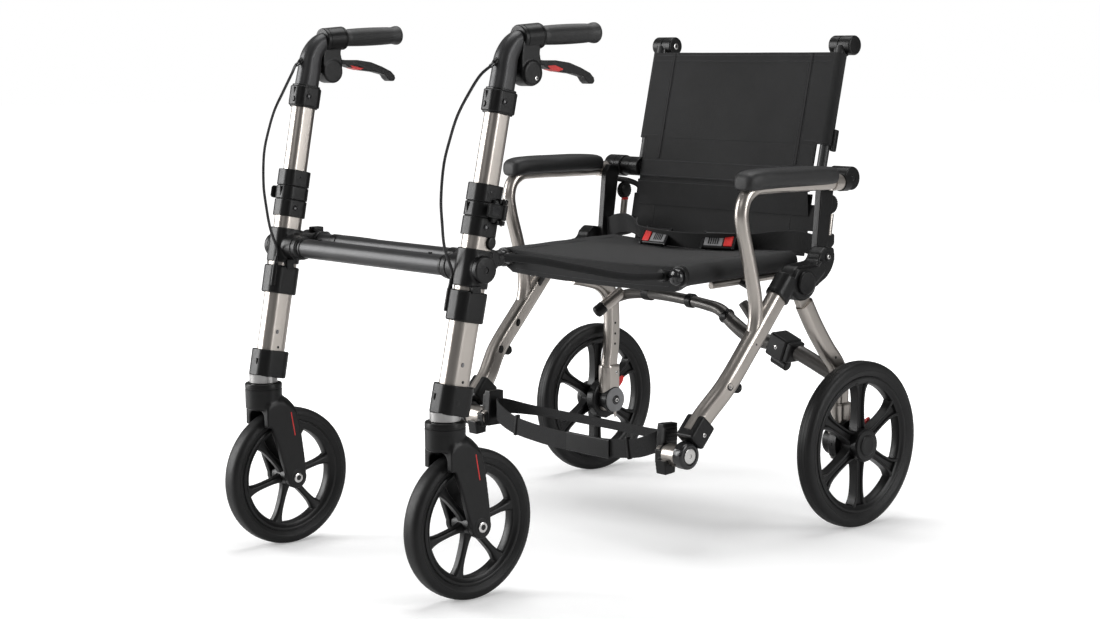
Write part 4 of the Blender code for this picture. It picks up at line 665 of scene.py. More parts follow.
def height_clamp(form):
    for low, high in mm(2, 575, 603.5, 604.5, 626.5, 627.5, 655):
        collar(form, low, high, 0.0216, 0.0263, bevel=0.0012)
    # A near-black collar inside the rings is painted shade, seen in the gaps between them; the slot below
    # is painted shade too.
    collar(form, 0.58, 0.65, 0.0196, 0.024, "recess", bevel=0.0)
    form.block(post(0.6155, 0.0266, -0.004), (0.001, 0.0012, 0.01), "recess", 0.0003)
    for face in (1, -1):
        ring_screw(form, post(0.59, 0.004, face * 0.0214), ACROSS * face, 0.005)
        form.screw(post(0.643, 0.004, face * 0.0215), ACROSS * face, 0.0022, 0.0008, "gloss")
    for low, high in mm(2, -20, -12.7, 12.7, 20):
        form.turn(CAM, ALONG, [(low, 0.0044), (low + 0.0008, 0.0053), (high - 0.0008, 0.0053),
                               (high, 0.0044)], sides=24)
        form.block(CAM + ALONG * (low + high) / 2 + ACROSS * -0.01 + FRONT * 0.002,
                   (0.0105, 0.0075, 0.0036), bevel=0.0014, turn=ON_POST)
    form.turn(CAM, ALONG, mm(2, -21.5, 2.2, 21.5, 2.2), "steel", 16)
    form.block(CAM + ACROSS * -0.0105 + FRONT * 0.0066, (0.0085, 0.012, 0.0178), bevel=0.003, turn=ON_POST)


def cam_lever(form):
    form.turn(CAM, ALONG, mm(2, -12.2, 5.2, -11.2, 6.2, 11.2, 6.2, 12.2, 5.2), sides=28)
    rows = mm(4, 0, 2, 10, 2.6, 3, 9, 10.6, 3, 3.4, 18, 10.8, 3, 4, 27, 10.8, 2.8, 5.6, 34, 10.2, 2.4,
              6.2, 36.2, 8, 1.4)
    form.sweep([(*(CAM + ACROSS * out + FRONT * ahead), a, b) for out, ahead, a, b in rows], "moulding",
               ALONG, 0.9)
    form.block(CAM + ACROSS * 0.0064 + FRONT * 0.02, (0.0008, 0.008, 0.0066), "gloss", 0.0006, ON_POST)


both(tee_clamp, "frame", "moulding")
both(height_clamp, "frame", "moulding")
both(cam_lever, "{}_cam_lever", "moulding")

# Handles, brakes and cables

HANDLE_X = 0.2505 + (0.79 - 0.32) * SPLAY
GRIP_START, GRIP_END = Vector((HANDLE_X, -0.303, 0.885)), Vector((HANDLE_X, -0.181, 0.8905))
GRIP_LINE = (GRIP_END - GRIP_START).normalized()
DISC = (-0.3333, 0.8265)
GROMMET, GROMMET_LINE = Vector((HANDLE_X, -0.38, 0.853)), Vector((0, -0.845, -0.534))


def handle_tube(form):
    foot = post(0.79)
    rows = [(foot.x, foot.y, foot.z, 0.0168, 0.0205), (HANDLE_X, -0.3785, 0.822, 0.0165, 0.02),
            (HANDLE_X, -0.372, 0.852, 0.016, 0.0185), (HANDLE_X, -0.356, 0.873, 0.015, 0.0162),
            (HANDLE_X, -0.333, 0.882, 0.0135, 0.014), (*GRIP_START, 0.0093, 0.0093),
            (*(GRIP_END - Y * 0.012), 0.0093, 0.0093)]
    form.sweep(rows, "gunmetal", X, 0.86, 8)
    collar(form, 0.765, 0.799, 0.02, 0.0256, bevel=0.0024)
    collar(form, 0.798, 0.802, 0.0184, 0.0229, bevel=0.001)
    collar(form, 0.763, 0.766, 0.0182, 0.0226, bevel=0.0008)
    # A slot painted as shade: a near-black block.
    form.block(post(0.79, 0.0257, -0.003), (0.001, 0.0012, 0.006), "recess", 0.0003)
    oval_button(form, post(0.775, 0.0248, -0.004), FRONT, 0.0034, 0.005, 0.0022)
    for face in (1, -1):
        ring_screw(form, post(0.782, 0.006, face * 0.0198), ACROSS * face, 0.005)
    form.turn(GROMMET, GROMMET_LINE, mm(2, 8, 5.2, 19, 5, 20, 4.4, 22.5, 3.8), sides=24)


def grip(form):
    profile = mm(2, 0, 12, 0.8, 13.6, 4, 14.4, 9.5, 14.7)
    length = (GRIP_END - GRIP_START).length
    for k in range(34):
        s = 0.011 + k * 0.0026
        bulge = 0.0147 + 0.0015 * math.sin(math.pi * min(s / 0.112, 1.0)) ** 0.8
        profile += [(s, bulge), (s + 0.0006, bulge - 0.0005), (s + 0.0014, bulge - 0.0005),
                    (s + 0.002, bulge)]
    profile += [(0.102, 0.015), (0.108, 0.0152), (0.113, 0.0164), (0.116, 0.0169), (0.1195, 0.0168),
                (0.1215, 0.0158), (length, 0.0132), (length, 0.006), (length - 0.0006, 0.0)]
    form.turn(GRIP_START, GRIP_LINE, profile, "grip", 44)


def brake_body(form):
    start = Vector((HANDLE_X, -0.348, 0.881))
    band = (Vector((HANDLE_X, -0.3033, 0.8848)) - start).normalized()
    form.turn(start, band, ring_seams(0.0, 0.044, 0.0205, 0.007, 0.0385), sides=52)
    body = Form()
    plate = mm(2, -350.5, 876, -353, 856, -354, 842) + arc(*DISC, 0.0205, 165, 375, 20) + mm(2, -313, 840,
            -316, 856, -315, 876)
    body.prism(plate, HANDLE_X - 0.011, HANDLE_X + 0.016)
    body.turn((0, *DISC), X, [(HANDLE_X - 0.012, 0.019), (HANDLE_X + 0.0195, 0.019),
                              (HANDLE_X + 0.0205, 0.018)], sides=44)
    body.turn((0, -0.3215, 0.844), X, [(HANDLE_X - 0.009, 0.01), (HANDLE_X + 0.012, 0.01)], sides=36)
    start_ring = Vector((HANDLE_X, -0.346, 0.8812))
    body.turn(start_ring, band, mm(2, 0, 19.8, 39, 19.8), sides=48)
    body.melt(0.0011)
    form.merge(body)
    form.screw((HANDLE_X + 0.02, -0.3276, 0.8183), X, 0.0036, 0.0012)
    form.turn((0, *DISC), X, [(HANDLE_X + 0.0185, 0.0162), (HANDLE_X + 0.0206, 0.0162),
                              (HANDLE_X + 0.0209, 0.0158), (HANDLE_X + 0.0209, 0.0146),
                              (HANDLE_X + 0.0198, 0.0144)], sides=44, caps=False)


def brake_lever(form):
    middle = HANDLE_X + 0.0015
    blade = mm(2, -324, 848.5, -303.5, 846.3, -277.1, 846.3, -247.9, 842.7, -223.3, 834.8, -203.4, 826.4,
               -195, 819, -193.2, 813, -197, 808.5, -204.5, 808.5, -210, 812.5, -216, 820, -238, 825,
               -267.4, 828, -296.3, 833.5, -303.5, 838.3, -324, 838.5)
    form.prism(blade, middle - 0.0092, middle + 0.0092)
    form.melt(0.001, 5)
    lens = soft(mm(3, -296.3, 837.8, 1, -279.5, 838.8, 8, -260.1, 832.1, 1, -272.2, 828.2, 8,
                   -289.1, 831.8, 6), 0.002)
    form.prism(lens, middle - 0.0092, middle + 0.0096, "red", bevel=0.0008)


both(handle_tube, "{}_handle", "gunmetal")
both(grip, "{}_handle", "rubber")
both(brake_body, "{}_handle", "moulding")
both(brake_lever, "{}_brake_lever", "moulding")


def cable_rows():
    start = [GROMMET + GROMMET_LINE * s for s in (0.0215, 0.0265, 0.0305)]
    middle = mm(3, 253, -418, 824.5, 248, -441.5, 791.5, 246.5, -461, 760, 245.5, -474.5, 726,
                244, -485, 690, 241.2, -489.3, 633, 239.5, -486, 598, 237.5, -480, 560)
    foot = [beside_post(z) for z in (0.518, 0.509, 0.504, 0.4985)]
    return [(*p, 0.0024) for p in start + middle + foot]


def cables():
    form = Form()
    rows = cable_rows()
    form.sweep(rows, "cable", sides=14, per=8)
    form.turn(rows[0][:3], GROMMET_LINE, mm(2, -2, 3.2, 8, 3.2, 9, 2.6), "gloss", 18)
    form.turn(rows[-1][:3], ALONG, mm(2, -1, 3.4, 11, 3.4, 12, 2.6), "gloss", 18)
    for side, sign in SIDES:
        top, foot = Vector(rows[0][:3]) + ORIGIN, Vector(rows[-1][:3]) + ORIGIN
        top.x, foot.x = top.x * sign, foot.x * sign
        form.piece(f"{side}_brake_cable_skin", ("frame", side + "_handle"), [side + "_brake_cable"],
                   "rubber", sign, join=(foot, top))


cables()


def link_bar(form):
    rows = mm(3, 232, -378.5, 534.5, 232, -363.5, 534.5, 232, -348.5, 534.5, 228, -278.5, 524.5,
              218, -170, 502.5, 209, -60, 481, 203, 10, 475.5, 203, 50, 475)
    form.sweep([(*row, 0.0065) for row in rows], "matte", X)
    form.turn((0.232, 0, 0.475), Y, mm(2, 42.3, 16, 43, 18, 44, 18.3, 50.5, 18.3, 51.7, 17), sides=40)
    form.block((0.216, 0.047, 0.475), (0.016, 0.0045, 0.009), bevel=0.0015)
    form.turn((0.203, 0.03, 0.475), Y, mm(2, 0, 9.8, 0.8, 11, 11, 11, 11.8, 9.8), sides=32)


both(link_bar, "frame", "moulding")


def crossbars():
    axle = Vector((0, *post(CROSS_Z).yz))
    form = Form()
    form.turn(axle, X, mm(2, -232, 16.2, -231.8, 16.5, 231.8, 16.5, 232, 16.2), "gunmetal", 48)
    for sign in (1, -1):
        form.turn(axle, X * sign, mm(2, 188.5, 17.2, 189, 17.8, 194, 17.8, 194.5, 17.2), sides=40)
        form.turn((0.15 * sign, axle.y, axle.z + 0.016), Z, mm(2, 0, 3.4, 2.2, 3.4, 2.6, 2.8), "gloss", 6)
    form.piece("front_crossbar_skin", "frame", ["front_crossbar"], "gunmetal")
    form = Form()
    form.turn(REAR_BAR, X, mm(2, -245.5, 12.7, -245.3, 13, 245.3, 13, 245.5, 12.7), "gunmetal", 40)
    for at in (-0.16, 0.16):
        form.turn((at, *REAR_BAR[1:]), X, ring_seams(-0.01, 0.01, 0.0143), sides=36)
    form.piece("rear_crossbar_skin", "frame", ["rear_crossbar"], "gunmetal")


crossbars()

# Chair side frames


def side_frame(form):
    tube = (0.014, 0.019)
    main = mm(3, 305, 238, 456, 305, 192, 403.5, 305, 146, 351, 303, 88, 285, 289, 50, 238, 287, 24, 209.2)
    form.sweep([(*row, *tube) for row in main], "champagne", X, 0.88, 8)
    arm = mm(2, 156, 372, 161.2, 400, 160, 433, 145, 492, 126.5, 555, 122.5, 585, 131, 610, 154, 625,
             185, 627.5, 280, 627.5, 383.5, 627.5)
    form.sweep([(SIDE_X, y, z, 0.0125) for y, z in arm], "champagne", X, per=8, sides=36)
    weld = [(SIDE_X + 0.0128 * math.cos(t), 0.16 + 0.0205 * math.sin(t) * 0.66, 0.387 + 0.018 * math.sin(t),
             0.0011) for t in (math.tau * k / 24 for k in range(25))]
    form.sweep(weld, "champagne", per=1, sides=8)
    form.sweep(mm(4, 232, 125, 453.1, 6, 232, 300, 458.4, 6), "champagne", X, per=1, sides=20)
    form.sweep(mm(4, 299, 190, 402, 5.5, 266, 196, 442, 5.5, 231, 200, 455.4, 5.5), "bar", Y, sides=18)
    form.turn((0.317, 0.15, 0.3555), X, mm(2, -1, 2.6, 1.6, 2.6, 2.1, 1.8), "gloss", 18)
    oval_button(form, (0.2915, 0.133, 0.336), -X, 0.0034, 0.0075, 0.0042)
    ring_screw(form, Vector((0.3165, 0.0868, 0.288)), X, 0.007)
    oval_button(form, (0.2895, 0.087, 0.2876), -X, 0.005, 0.008, 0.0034)
    under = Vector((0, 0.75, -0.66))
    form.turn((0.304, 0.0985, 0.2969), under, mm(2, 15, 10, 25, 10, 26.2, 8, 29, 7.8, 30.5, 6.6), sides=28)
    oval_button(form, (0.303, 0.076, 0.26), (0.75, 0.0, -0.66), 0.0046, 0.0062, 0.004)


def hub(form):
    round_end = [(y, z, 0) for y, z in arc(HUB_Y, HUB_Z, 0.033, -20, -245, 26)]
    knuckle = soft(mm(3, 312, 490, 20, 319, 504, 10, 333, 515, 10, 356, 512, 8, 358, 490, 10, 351, 474, 12,
                      336, 459, 12, 308, 444, 16) + round_end, 0.004)
    form.prism(knuckle, 0.2868, 0.318)
    raised = soft(mm(3, 306, 482, 10, 320, 496, 6, 328, 470, 6, 305, 453, 6)
                  + [(y, z, 0) for y, z in arc(HUB_Y, HUB_Z, 0.0305, -5, -235, 22)], 0.003)
    form.prism(raised, 0.31, 0.3232)
    down = Vector((0, -0.6548, -0.7558))
    start = Vector((SIDE_X, 0.244, 0.463))
    form.sweep([(*(start + down * s), 0.0181, 0.0223) for s in (0.0, 0.036)], "moulding", X, 0.88, 1)
    form.melt(0.0015, 7)
    form.turn((0, HUB_Y, HUB_Z), X, mm(2, 300, 21.5, 327.5, 21.5, 329, 20.8, 330, 19, 329.4, 17.6,
                                       329.4, 0), sides=48)
    rows = mm(3, 33, 17.6, 21.6, 34, 18.3, 22.5, 41.5, 18.3, 22.5, 43, 17.2, 21.2)
    form.sweep([(*(start + down * s), a, b) for s, a, b in rows], "moulding", X, 0.88, 1)
    form.turn((0.318, 0.34, 0.496), X, mm(2, -2, 8, 1.4, 8, 2, 7, 2, 4.4), sides=32, caps=False)
    form.screw((0.3188, 0.34, 0.496), X, 0.0044, 0.0012)
    form.screw((0.3178, 0.22, 0.447), X, 0.003, 0.0008, "gloss")


both(side_frame, "frame", "champagne")
both(hub, "frame", "moulding")

LEG_LEFT = mm(2, 290, 415, 318, 372, 352, 328, 383, 292, 393, 262, 394, 220, 394, 188)
LEG_RIGHT = mm(2, 290, 415, 326, 408, 368, 395, 394, 370, 400, 330, 399, 262, 394, 226, 394, 188)


def rear_leg(points, sign):
    """One leg; the two differ in where they bend, so neither is a mirror copy."""
    form = Form()
    form.sweep([(SIDE_X, y, z, 0.012, 0.0175) for y, z in points], "champagne", X, 0.88, 8)
    eye = arc(HUB_Y, HUB_Z, 0.0198, 30, 210, 16) + mm(2, 276, 408, 302, 408)
    form.prism(eye, 0.2992, 0.3108, "champagne", bevel=0.001)
    # The holes in the leg are near-black discs of painted shade.
    for z in (0.311, 0.289, 0.268):
        y = float(np.interp(z, [q[1] for q in points[::-1]], [q[0] for q in points[::-1]]))
        for face in (-1, 1):
            form.turn((SIDE_X + 0.0119 * face, y, z), X * face, mm(2, -1, 2.6, 0.3, 2.6), "recess", 14)
    side = "left" if sign > 0 else "right"
    form.piece(side + "_rear_leg_skin", "rear_frame", [side + "_rear_leg"], "champagne", sign)


rear_leg(LEG_LEFT, 1)
rear_leg(LEG_RIGHT, -1)


def brake_carrier(form):
    axle = (0, REAR_Y, REAR_R)
    rows = mm(3, 131, 13, 19, 137, 16.4, 22.4, 219, 16.5, 22.2, 223, 16.2, 21.8, 224, 15, 20.5)
    form.sweep([(SIDE_X, REAR_Y, z, a, b) for z, a, b in rows], "champagne", X, 0.9, 1)
    form.turn(axle, X, mm(2, 310, 33, 311.5, 38.5, 313.5, 40, 329.2, 40, 329.4, 38.5, 329.4, 0), sides=56)
    for k in range(12):
        a = math.tau * k / 12
        form.block((0.3165, REAR_Y + 0.0392 * math.cos(a), REAR_R + 0.0392 * math.sin(a)),
                   (0.0046, 0.0016, 0.003), bevel=0.0006, turn=Matrix.Rotation(a, 3, "X"))
    form.turn(axle, X, mm(2, 310.5, 26.5, 288, 26.5, 287.4, 25.5), sides=48)
    form.turn(axle, X, mm(2, 288, 25, 285.6, 25, 284.6, 23.8, 284.6, 0), "greyplate", 48)
    form.turn((0.2848, REAR_Y, REAR_R), -X, mm(2, -1, 9.5, 1, 9.5, 1.6, 8.5, 1.6, 0), "gloss", 28)
    form.screw((0.2836, REAR_Y, REAR_R), -X, 0.0046, 0.003)
    form.prism(soft(mm(3, 390, 129, 1, 398, 129, 1, 395, 113, 1), 0.001), 0.2862, 0.289, "champagne",
               bevel=0.0004)
    form.screw((0.2884, 0.4, 0.209), -X, 0.0032, 0.0008)
    form.sweep(mm(5, 316.5, 418, 164, 4.4, 8, 322, 426, 168, 4.4, 7, 325.5, 436, 173, 3.6, 6), "moulding",
               X)
    form.sweep(mm(5, 325, 431, 171, 3.6, 6, 325.8, 441, 178, 3.8, 6.6, 326.2, 450, 186.5, 3.4, 5.2,
                  326.2, 454, 191, 2, 2), "red", X)


both(brake_carrier, "rear_frame", "moulding")


def cross_brace():
    form = Form()
    rows = mm(4, 295, 387, 276, 14.5, 218, 355, 318, 14.5, 130, 342, 333, 14.2, 90, 338, 355, 13.5,
              60, 336, 376, 12, 20, 337, 383, 10.8, -100, 342, 390, 10.5, -220, 372, 380, 10.5,
              -292, 393, 362, 10.5)
    form.sweep(rows, "greybar", Y, per=8, sides=28)
    form.sweep(mm(4, 170, 347, 326, 9, 118, 334, 396, 9), "greybar", Y, per=1, sides=20)
    form.sweep(mm(4, -242, 370, 384, 11.5, -258, 335, 354.6, 11.5), "champagne", Y, per=1, sides=28)
    cap = Vector((-0.265, 0.32, 0.342))
    out = (cap - Vector((-0.242, 0.37, 0.384))).normalized()
    form.turn(cap, out, mm(2, -19, 12.2, -2, 12.2, 1.2, 10.8, 3, 7, 3.6, 0), "moulding", 28)
    for at, half in (((0.075, 0.337, 0.366), 0.009), ((-0.02, 0.3385, 0.3865), 0.008),
                     ((-0.15, 0.353, 0.3885), 0.011)):
        form.turn(at, X, ring_seams(-half, half, 0.014), sides=28)
    form.piece("cross_brace_skin", "rear_frame", ["cross_brace"], "champagne")
    form = Form()
    tilt = Matrix.Rotation(0.36, 3, "Y")
    at = Vector((0.203, 0.3532, 0.3206))
    form.block(at, (0.0215, 0.0225, 0.0222), bevel=0.0042, turn=tilt, segments=3)
    form.block(at + tilt @ Vector((0.0262, 0, 0.001)), (0.006, 0.0195, 0.019), bevel=0.003, turn=tilt,
               segments=3)
    form.turn(at + tilt @ Vector((0, 0, -0.03)), tilt @ X, mm(2, -14, 8, -12.5, 10, 22.5, 10, 24, 8),
              sides=28)
    form.screw(at + tilt @ Vector((0.0, -0.0214, 0.0)), -Y, 0.004, 0.0012)
    form.piece("brace_clamp_skin", "rear_frame", ["brace_clamp"], "moulding")


cross_brace()


def foot_clamp(form):
    tilt = Matrix.Rotation(-math.radians(42), 3, "X")
    at = Vector((0.287, 0.0315, 0.213))
    form.block(at, (0.02, 0.0198, 0.0232), bevel=0.0048, turn=tilt, segments=4)
    form.screw(at + Vector((0.02, 0, 0)) + tilt @ Vector((0, 0.004, -0.002)), X, 0.0042, 0.0014)
    pivot = Vector((0, 0.006, 0.1745))
    form.turn(pivot, X, mm(2, 279, 20.5, 279.7, 22.8, 281.5, 23.8, 296, 23.8, 298.5, 22.8, 300, 20.8,
                           300, 16.5, 298.2, 15.5, 298.2, 0), "gloss", 48)
    form.turn(pivot, X, mm(2, 297.5, 13.2, 299.5, 13.2, 300.2, 12.4, 300.2, 4, 299, 3.6, 299, 0), "steel",
              36)
    low_pivot = pivot - Z * 0.0035
    form.turn(low_pivot, X, mm(2, 230, 15, 231, 15.5, 245, 15.7, 249, 18.8, 280, 19.2), "champagne", 44)
    form.turn(low_pivot, X, mm(2, 238, 15, 239, 16.3, 242, 16.3, 243, 15), sides=40)
    slide = Form()
    slot = mm(2, -2, 156, 36, 156, 37, 221.5, 3, 223)
    slide.prism(slot, 0.2235, 0.24)
    slide.prism(mm(2, 0, 190, 33, 190, 33, 215, 2, 215), 0.238, 0.244)
    slide.prism(mm(2, -20, 164, 9, 164, 7, 141, -16, 139), 0.24, 0.264)
    slide.prism(mm(2, -10, 180, 20, 180, 15, 155, -10, 155), 0.23, 0.264)
    slide.melt()
    form.merge(slide)
    for z in (0.193, 0.199, 0.205, 0.211):
        form.block((0.2438, 0.017, z), (0.001, 0.013, 0.0012), bevel=0.0004)


both(foot_clamp, "frame", "moulding")

# Back frame


def back_post(form):
    bar = soft(mm(3, 341.5, 482, 2, 369, 482, 2, 388, 613, 10, 398, 633, 6, 365, 638, 4, 354, 624, 10),
               0.004)
    form.prism(bar, 0.273, 0.288, bevel=0.0026, segments=3)
    form.turn(FOLD, X, mm(2, 270.2, 18.5, 270.8, 20.5, 272.2, 21.4, 285, 21.4, 285.6, 20.6, 286.8, 20.6,
                          287.4, 21.4, 312.8, 21.4, 314.5, 20.6, 315.4, 19, 315.4, 8, 314.6, 7.4, 314.6, 0),
              sides=52)
    form.turn(FOLD, X, mm(2, 314, 5, 315.8, 5, 316.2, 4.2, 316.2, 0), "gloss", 24)
    form.turn((SIDE_X, 0, ARM_Z), Y, mm(2, 360, 12.8, 360.6, 14.6, 400, 14.6), "champagne", 40)
    form.turn((SIDE_X, 0, ARM_Z), Y, mm(2, 382, 15, 383, 16.4, 400, 16.8), sides=40)
    rows = mm(3, 278, 366, 498, 256, 378, 500, 239, 391, 506, 236, 398.2, 518, 236, 400.5, 530,
              236, 410, 580, 239, 412.7, 594, 254, 400, 604, 278, 388, 608)
    form.sweep([(*row, 0.0055) for row in rows], "bar", Y, sides=20)
    bracket = soft(mm(3, 356, 498.5, 4, 398, 502, 8, 410, 512, 8, 410, 531, 4, 356, 531, 4), 0.004)
    form.prism(bracket, 0.265, 0.2735, bevel=0.0018)
    form.turn((0.269, 0.396, 0.529), Vector((0, 0.14, 1)), mm(2, 0, 6.8, 38, 6.8, 39.2, 5.8), "champagne",
              28)
    teeth = []
    for k in range(24):
        a, b = math.tau * k / 24, math.tau * (k + 0.5) / 24
        teeth += [(0.4006 + 0.017 * math.cos(a), 0.585 + 0.017 * math.sin(a)),
                  (0.4006 + 0.0156 * math.cos(b), 0.585 + 0.0156 * math.sin(b))]
    form.prism(teeth, 0.2655, 0.2735)
    form.turn((0.2655, 0.4006, 0.585), -X, mm(2, -1, 12, 1.6, 11.6, 2.2, 10, 2.2, 0), sides=32)
    form.block((0.265, 0.399, 0.568), (0.0036, 0.006, 0.0024), "red", 0.0008)


def back_bow(form):
    length = (BOW_TOP - BOW_FOOT).length
    form.turn(BOW_FOOT + X * BOW_X, BOW_LINE, [(-0.004, 0.008), (0.0, 0.0095), (length + 0.01, 0.0095)],
              "bar", 32)
    form.turn(FOLD, X, mm(2, 222.5, 16.5, 223.2, 18.2, 224.8, 19, 243, 19, 243.6, 18.2, 244.8, 18.2,
                          245.4, 19, 268, 19, 269.7, 17.2), sides=44)
    form.turn((0.2226, *FOLD[1:]), -X, mm(2, -1, 12, 0.6, 12, 1, 11.2, 1, 0), "gloss", 32)
    form.screw((0.2218, *FOLD[1:]), -X, 0.004, 0.0012)
    clip = BOW_FOOT + BOW_LINE * 0.0665
    tilt = Matrix.Rotation(-0.22, 3, "X")
    form.block((0.2455, clip.y + 0.008, clip.z), (0.0042, 0.006, 0.0205), bevel=0.0026, turn=tilt,
               segments=3)
    knob = Vector((0, 0.481, 0.873))
    form.turn(knob, X, mm(2, 205, 15, 205.6, 17.2, 207.5, 18.2, 226.2, 18.2, 227, 16.8, 230, 16.8,
                          230.8, 18.2, 252.5, 18.2, 254.5, 17, 255, 14, 255, 0), sides=48)
    form.screw((0.2054, *knob.yz), -X, 0.006, 0.0016)
    form.block((0.23, 0.472, 0.864), (0.013, 0.0085, 0.01), bevel=0.003, turn=tilt, segments=3)


both(back_post, "frame", "moulding")
both(back_bow, "back_rest", "moulding")

# Cloth: back, seat, belt and foot strap


def hook(post_x, radius, reach, cloth, steps=14):
    """Cloth seen end on, wrapped round an upright tube at both edges: (x, distance ahead)."""
    turns = [math.radians(90 - reach * k / steps) for k in range(steps + 1)]
    outer, inner = [[(post_x + r * math.cos(t), r * math.sin(t)) for t in turns]
                    for r in (radius + cloth, radius)]
    flat = 18
    front = [(post_x * (1 - 2 * k / flat), radius + cloth) for k in range(1, flat)]
    back = [(post_x * (2 * k / flat - 1), radius) for k in range(1, flat)]
    left_outer, left_inner = [(-x, y) for x, y in outer], [(-x, y) for x, y in inner]
    return outer[::-1] + front + left_outer + left_inner[::-1] + back + inner


def cloth_panel(form, outline, foot, line, heights, sag, ripple):
    """A length of cloth along an upright line, sagging between its edges and slightly rippled."""
    ahead = Vector((0, -line.z, line.y))
    rings = []
    for s in heights:
        ring = []
        for x, d in outline:
            wave = ripple * math.sin(x * 37 + s * 21) * math.cos(x * 11 - s * 33)
            dip = sag * (1 - min(abs(x) / 0.215, 1.0) ** 2.4) if abs(x) < 0.215 else 0.0
            ring.append(foot + X * x + line * s + ahead * (d - dip
                    + wave * (1 - min(abs(x) / 0.2, 1.0) ** 4)))
        rings.append(ring)
    form.loft(rings, "canvas")


BACK_HALF, BACK_CLOTH, BAND_AT, STRIPE_X = 0.2215, 0.0036, -0.004, 0.178


def spaced(low, high, count):
    """Evenly spaced values, with both ends."""
    return [low + (high - low) * k / (count - 1) for k in range(count)]


def strip(front, back):
    """The flat part of a back's cloth, seen end on."""
    row = spaced(-BACK_HALF, BACK_HALF, 17)
    return [(x, front) for x in spaced(BACK_HALF, -BACK_HALF, 17)] + [(x, back) for x in row]


def seam(form, points, radius=0.00055, dash=0.0042, gap=0.0016):
    """Stitches along a line: short raised threads with small gaps between them."""
    path = curve([(*p, radius) for p in points], 12)
    lengths = np.concatenate([[0], np.cumsum(steps_along(path))])
    s = 0.001
    while s + dash < lengths[-1]:
        ends = [[float(np.interp(t, lengths, path[:, k])) for k in range(3)]
                for t in (s, s + dash / 2, s + dash)]
        form.sweep([(*ends[0], radius * 0.5), (*ends[1], radius), (*ends[2], radius * 0.5)], "thread",
                   per=1, sides=6)
        s += dash + gap


def on_cloth(foot, line, lift):
    """Gives the place of a point across and along a back's face, lifted off it."""
    ahead = Vector((0, -line.z, line.y))

    def spot(x, s, out=0.0001):
        return foot + X * x + line * s + ahead * (lift + out)

    return spot


def back_cloth(form, tube_x, radius, reach, foot, line, wrapped, flat, sag, ripples):
    """A back's cloth: a band wrapped round its uprights and a flat panel; both are (low, high, rows)."""
    band, panel = hook(tube_x, radius, reach, BACK_CLOTH), strip(radius + BACK_CLOTH - 0.0002, radius)
    cloth_panel(form, band, foot, line, spaced(*wrapped), sag, ripples[0])
    cloth_panel(form, panel, foot, line, spaced(*flat), sag, ripples[1])


def upper_back():
    tube, line = 0.0098, BOW_LINE
    low, high = (0.69 - FOLD[2]) / line.z, (0.8575 - FOLD[2]) / line.z
    form = Form()
    back_cloth(form, BOW_X, tube, 250, BOW_FOOT, line, (low, high, 22), (-0.032, low + 0.004, 12), 0.0012,
               (0.0006, 0.0005))
    panel = form.piece("upper_back_skin", "back_rest", ["upper_back"], "canvas")
    trim = Form()
    spot = on_cloth(BOW_FOOT, line, tube + BACK_CLOTH)
    for x in (-STRIPE_X, STRIPE_X):
        rows = [(*spot(x, s, -0.0004), 0.003, 0.0012) for s in spaced(low - 0.04, high - 0.001, 8)]
        trim.sweep(rows, "canvas", X, 0.9)
        for off in (-0.0045, 0.0045):
            seam(trim, [spot(x + off, s) for s in spaced(low - 0.04, high - 0.004, 5)])
    for s in (high - 0.006, high - 0.017):
        seam(trim, [spot(x, s) for x in spaced(-0.228, 0.228, 9)])
    for sign in (-1, 1):
        seam(trim, [spot(x, low + 0.005) for x in spaced(sign * 0.19, sign * 0.232, 3)])
        seam(trim, [spot(sign * 0.2175, s) for s in spaced(-0.028, low - 0.002, 4)])
    trim.sweep([(*spot(x, BAND_AT, 0.0002), 0.0175, 0.001) for x in spaced(-0.221, 0.221, 9)], "strap",
               line, 0.3)
    for off in (-0.015, 0.015):
        seam(trim, [spot(x, BAND_AT + off, 0.0014) for x in spaced(-0.217, 0.217, 9)])
    stitched = trim.piece("upper_back_seams", "back_rest", [], "canvas")


def lower_back():
    tube, foot = 0.0058, Vector((0, 0.4005, 0.53))
    line = (Vector((0, 0.41, 0.58)) - foot).normalized()
    form = Form()
    back_cloth(form, 0.236, tube, 230, foot, line, (0.002, 0.0505, 8), (-0.045, 0.07, 15), 0.0008,
               (0.0004, 0.0004))
    panel = form.piece("lower_back_skin", "frame", ["lower_back"], "canvas")
    trim = Form()
    flap = [(x, 0.3942, 0.5855, 0.025, 0.0007) for x in spaced(-BACK_HALF, BACK_HALF, 9)]
    trim.sweep(flap, "canvas", Vector((0, -0.0037, 0.05)), 0.3)
    spot = on_cloth(foot, line, tube + BACK_CLOTH)
    seam(trim, [Vector((x, 0.391, 0.607)) for x in spaced(-0.218, 0.218, 9)])
    seam(trim, [spot(x, -0.041) for x in spaced(-0.218, 0.218, 9)])
    for x in (-STRIPE_X, STRIPE_X):
        seam(trim, [spot(x, s) for s in spaced(-0.04, 0.03, 3)])
    stitched = trim.piece("lower_back_seams", "frame", [], "canvas")


upper_back()
lower_back()

SEAT_X, ROLL, FRONT_Y, SEAT_Z, SAG = 0.232, 0.018, 0.052, 0.475, 0.006


def seat_axis(y):
    return SEAT_Z + (y - FRONT_Y) * 0.03


def seat_height(x, y):
    """Top of the sling: level at the side tubes, lower between them, and crowned towards its front hem."""
    share = min(abs(x) / SEAT_X, 1.0)
    return seat_axis(y) + ROLL - SAG * (1 - share ** 2.2)


